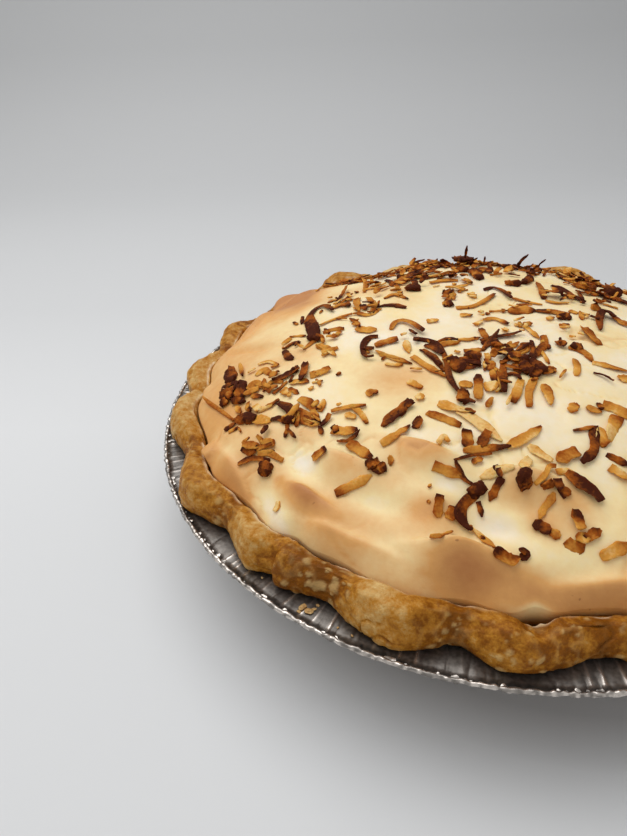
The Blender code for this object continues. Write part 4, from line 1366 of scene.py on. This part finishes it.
class PIE_OT_coconut(Operator):
    """Strews the toasted coconut shreds over the meringue"""
    bl_idname = "pie.coconut"
    bl_label = "Coconut"

    def execute(self, context):
        sizes, colours = context.scene.pie_sizes, context.scene.pie_colours
        draw = random.Random(19)
        shreds = shown_paths() + far_paths(draw)
        heap = bmesh.new()
        spots, toasts = [], []
        thin = sizes.shred_thickness
        kinds = ((shreds, SHRED_MESH, 0), (litter_paths(draw), LITTER_MESH, 0),
                 (scrap_paths(shreds, draw), SCRAP_MESH, 0),
                 (clump_paths(), CLUMP_MESH, CLUMP_CRUMPLE))
        for paths, (rings, sides), crumple in kinds:
            template_data = mesh_of(shred_template(rings, sides), "shred_template")
            template = mesh_spots(template_data)
            for path, width, toast in paths:
                heap.from_mesh(template_data)
                thickness = CLUMP_BULK * width * MM if crumple else thin
                lift = 0.5 * thin + SHRED_CLEAR + 0.3 * (thickness - thin)
                curve = curve_through(path + np.array([0, 0, lift]), rings)
                laid, browned = bend_shred(template, curve, width * MM, toast, thickness, crumple,
                                           draw)
                spots.append(laid)
                toasts.append(browned)
            bpy.data.meshes.remove(template_data)
        data = mesh_of(heap, "coconut_shreds")
        data.vertices.foreach_set("co", np.concatenate(spots).ravel())
        data.shade_smooth()
        piece = finished_piece("coconut_shreds", data, coconut_material(colours),
                               {"toast": np.concatenate(toasts)})
        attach(piece, "root")
        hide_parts("meringue")
        return {"FINISHED"}


class PIE_OT_crumbs(Operator):
    """Drops a few flakes of pastry on the tin's flange"""
    bl_idname = "pie.crumbs"
    bl_label = "Crumbs"

    def execute(self, context):
        colours = context.scene.pie_colours
        draw = random.Random(8)
        flange_top = TIN_DEPTH + FOIL_WALL
        places = []
        for pixel, size in CRUMBS:
            line = sight_line(pixel)
            reach = (flange_top - CAMERA_SPOT.z) / line[2]
            places.append((np.array(CAMERA_SPOT) + line * reach, size))
        for _ in range(FAR_CRUMB_COUNT):
            angle = math.radians(draw.uniform(*FAR_CRUMB_ANGLES))
            spot = draw.uniform(*FAR_CRUMB_RADII) * MM * pointing(angle)
            places.append((np.array([*spot, flange_top]), draw.uniform(*FAR_CRUMB_SIZES)))
        heap = bmesh.new()
        for place, size in places:
            grown = bmesh.ops.create_icosphere(heap, subdivisions=2, radius=0.5 * size * MM)
            turn = Matrix.Rotation(draw.uniform(0, 6.3), 3, "Z")
            stretch = Vector((1, draw.uniform(0.5, 0.9), draw.uniform(0.25, 0.5)))
            for vert in grown["verts"]:
                lump = 1 + 0.25 * (math.sin(9e3 * vert.co.x + place[0] * 1e4)
                                   * math.cos(7e3 * vert.co.y))
                local = Vector(a * b for a, b in zip(vert.co * lump, stretch))
                vert.co = turn @ local + Vector(place) + Vector((0, 0, 0.2 * size * MM))
        data = mesh_of(heap, "pastry_crumbs")
        values = {title: np.full(len(data.vertices), value)
                  for title, value in (("bake_and_painted_shade", 0.25), ("pale", 0.35), ("flake", 0.2))}
        piece = finished_piece("pastry_crumbs", data, pastry_material(colours), values)
        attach(piece, "root")
        return {"FINISHED"}


def key_light(width):
    """The soft light from the back left, aimed at the pie's middle."""
    lamp = bpy.data.lights.new("key", "AREA")
    lamp.shape = "RECTANGLE"
    lamp.size, lamp.size_y = width, KEY_HEIGHT
    lamp.energy = KEY_POWER
    light = bpy.data.objects.new("key", lamp)
    light.location = KEY_SPOT
    light.rotation_euler = (-Vector(KEY_SPOT)).to_track_quat("-Z", "Y").to_euler()
    bpy.context.scene.collection.objects.link(light)


class PIE_OT_stage(Operator):
    """Sets the camera, the pale floor with its backdrop, and the soft light"""
    bl_idname = "pie.stage"
    bl_label = "Stage"

    def execute(self, context):
        sizes, colours = context.scene.pie_sizes, context.scene.pie_colours
        camera_data = bpy.data.cameras.new("camera")
        camera_data.sensor_width = SENSOR
        camera_data.lens = FOCAL_PIXELS / PHOTO_HEIGHT * SENSOR
        camera_data.clip_start = 0.01
        camera = bpy.data.objects.new("camera", camera_data)
        right, up, ahead = camera_axes()
        turn = Matrix((right, up, -ahead)).transposed()
        camera.matrix_world = Matrix.Translation(CAMERA_SPOT) @ turn.to_4x4()
        context.scene.collection.objects.link(camera)
        context.scene.camera = camera
        self.sweep(colours)
        world = bpy.data.worlds.new("studio")
        world.use_nodes = True
        sky = world.node_tree.nodes["Background"]
        sky.inputs["Color"].default_value = (1, 1, 1, 1)
        sky.inputs["Strength"].default_value = SKY_STRENGTH
        context.scene.world = world
        key_light(sizes.light_width)
        context.scene.view_settings.view_transform = "Standard"
        return {"FINISHED"}

    def sweep(self, colours):
        """One sheet: floor, a curve and an upright back, square to the camera."""
        profile = [(SWEEP_NEAR, 0.0)]
        for index in range(SWEEP_CURVE_STEPS + 1):
            angle = math.radians(90 * index / SWEEP_CURVE_STEPS)
            profile.append((SWEEP_BEND + SWEEP_CURVE * math.sin(angle),
                            SWEEP_CURVE * (1 - math.cos(angle))))
        profile.append((SWEEP_BEND + SWEEP_CURVE, SWEEP_TOP))
        shape = bmesh.new()
        verts = [shape.verts.new((-SWEEP_HALF_WIDTH, y, z)) for y, z in profile]
        edges = [shape.edges.new(pair) for pair in zip(verts, verts[1:])]
        grown = bmesh.ops.extrude_edge_only(shape, edges=edges)["geom"]
        fresh = [item for item in grown if isinstance(item, bmesh.types.BMVert)]
        bmesh.ops.translate(shape, verts=fresh, vec=(2 * SWEEP_HALF_WIDTH, 0, 0))
        bmesh.ops.rotate(shape, verts=shape.verts, cent=(0, 0, 0),
                         matrix=Matrix.Rotation(-math.radians(CAMERA_YAW), 3, "Z"))
        data = mesh_of(shape, "sweep")
        data.shade_smooth()
        made, shader = material("pale_sweep")
        place = add_node(made, "ShaderNodeTexCoord")
        # Painted shade: the sheet's colour darkens away from the camera.
        away = add_node(made, "ShaderNodeVectorMath", operation="DOT_PRODUCT")
        join_nodes(made, place.outputs["Object"], away.inputs[0])
        yaw = math.radians(CAMERA_YAW)
        away.inputs[1].default_value = (math.sin(yaw), math.cos(yaw), 1)
        ahead = math_node(made, "ADD", away.outputs["Value"], -CAMERA_SPOT.y * math.cos(yaw))
        tone = ramp_node(made, ahead, [
            (reach, dimmed(colours.floor, shade)) for reach, shade in SWEEP_SHADES])
        apart = add_node(made, "ShaderNodeVectorMath", operation="DISTANCE")
        join_nodes(made, place.outputs["Object"], apart.inputs[0])
        apart.inputs[1].default_value = FOOT_SHADE_MIDDLE
        foot_shade = ramp_node(made, apart.outputs["Value"], [
            (FOOT_SHADE_REACH[0], (FOOT_SHADE_STRENGTH,) * 3), (FOOT_SHADE_REACH[1], (0, 0, 0))])
        tone = mix_colours(made, foot_shade, tone, srgb(*FOOT_SHADE_COLOUR))
        join_nodes(made, tone, shader.inputs["Base Color"])
        shader.inputs["Roughness"].default_value = 0.7
        piece = finished_piece("sweep", data, made, {})


class PIE_PT_panel(Panel):
    """Lists the pie's pieces, sizes and colours"""
    bl_label = "Meringue Pie"
    bl_idname = "PIE_PT_panel"
    bl_space_type = "VIEW_3D"
    bl_region_type = "UI"
    bl_category = "Pie"

    def draw(self, context):
        for operator in OPERATORS:
            self.layout.operator(operator.bl_idname)
        for group in (context.scene.pie_sizes, context.scene.pie_colours):
            box = self.layout.box()
            for name in type(group).__annotations__:
                box.prop(group, name)


OPERATORS = (PIE_OT_stage, PIE_OT_foil_tin, PIE_OT_crust, PIE_OT_meringue, PIE_OT_coconut,
             PIE_OT_crumbs)
CLASSES = (PieSizes, PieColours, *OPERATORS, PIE_PT_panel)


def register():
    for each in CLASSES:
        bpy.utils.register_class(each)
    bpy.types.Scene.pie_sizes = PointerProperty(type=PieSizes)
    bpy.types.Scene.pie_colours = PointerProperty(type=PieColours)


def unregister():
    del bpy.types.Scene.pie_sizes
    del bpy.types.Scene.pie_colours
    for each in reversed(CLASSES):
        bpy.utils.unregister_class(each)


def main():
    register()
    for operator in OPERATORS:
        group, name = operator.bl_idname.split(".")
        getattr(getattr(bpy.ops, group), name)()


if __name__ == "__main__":
    main()
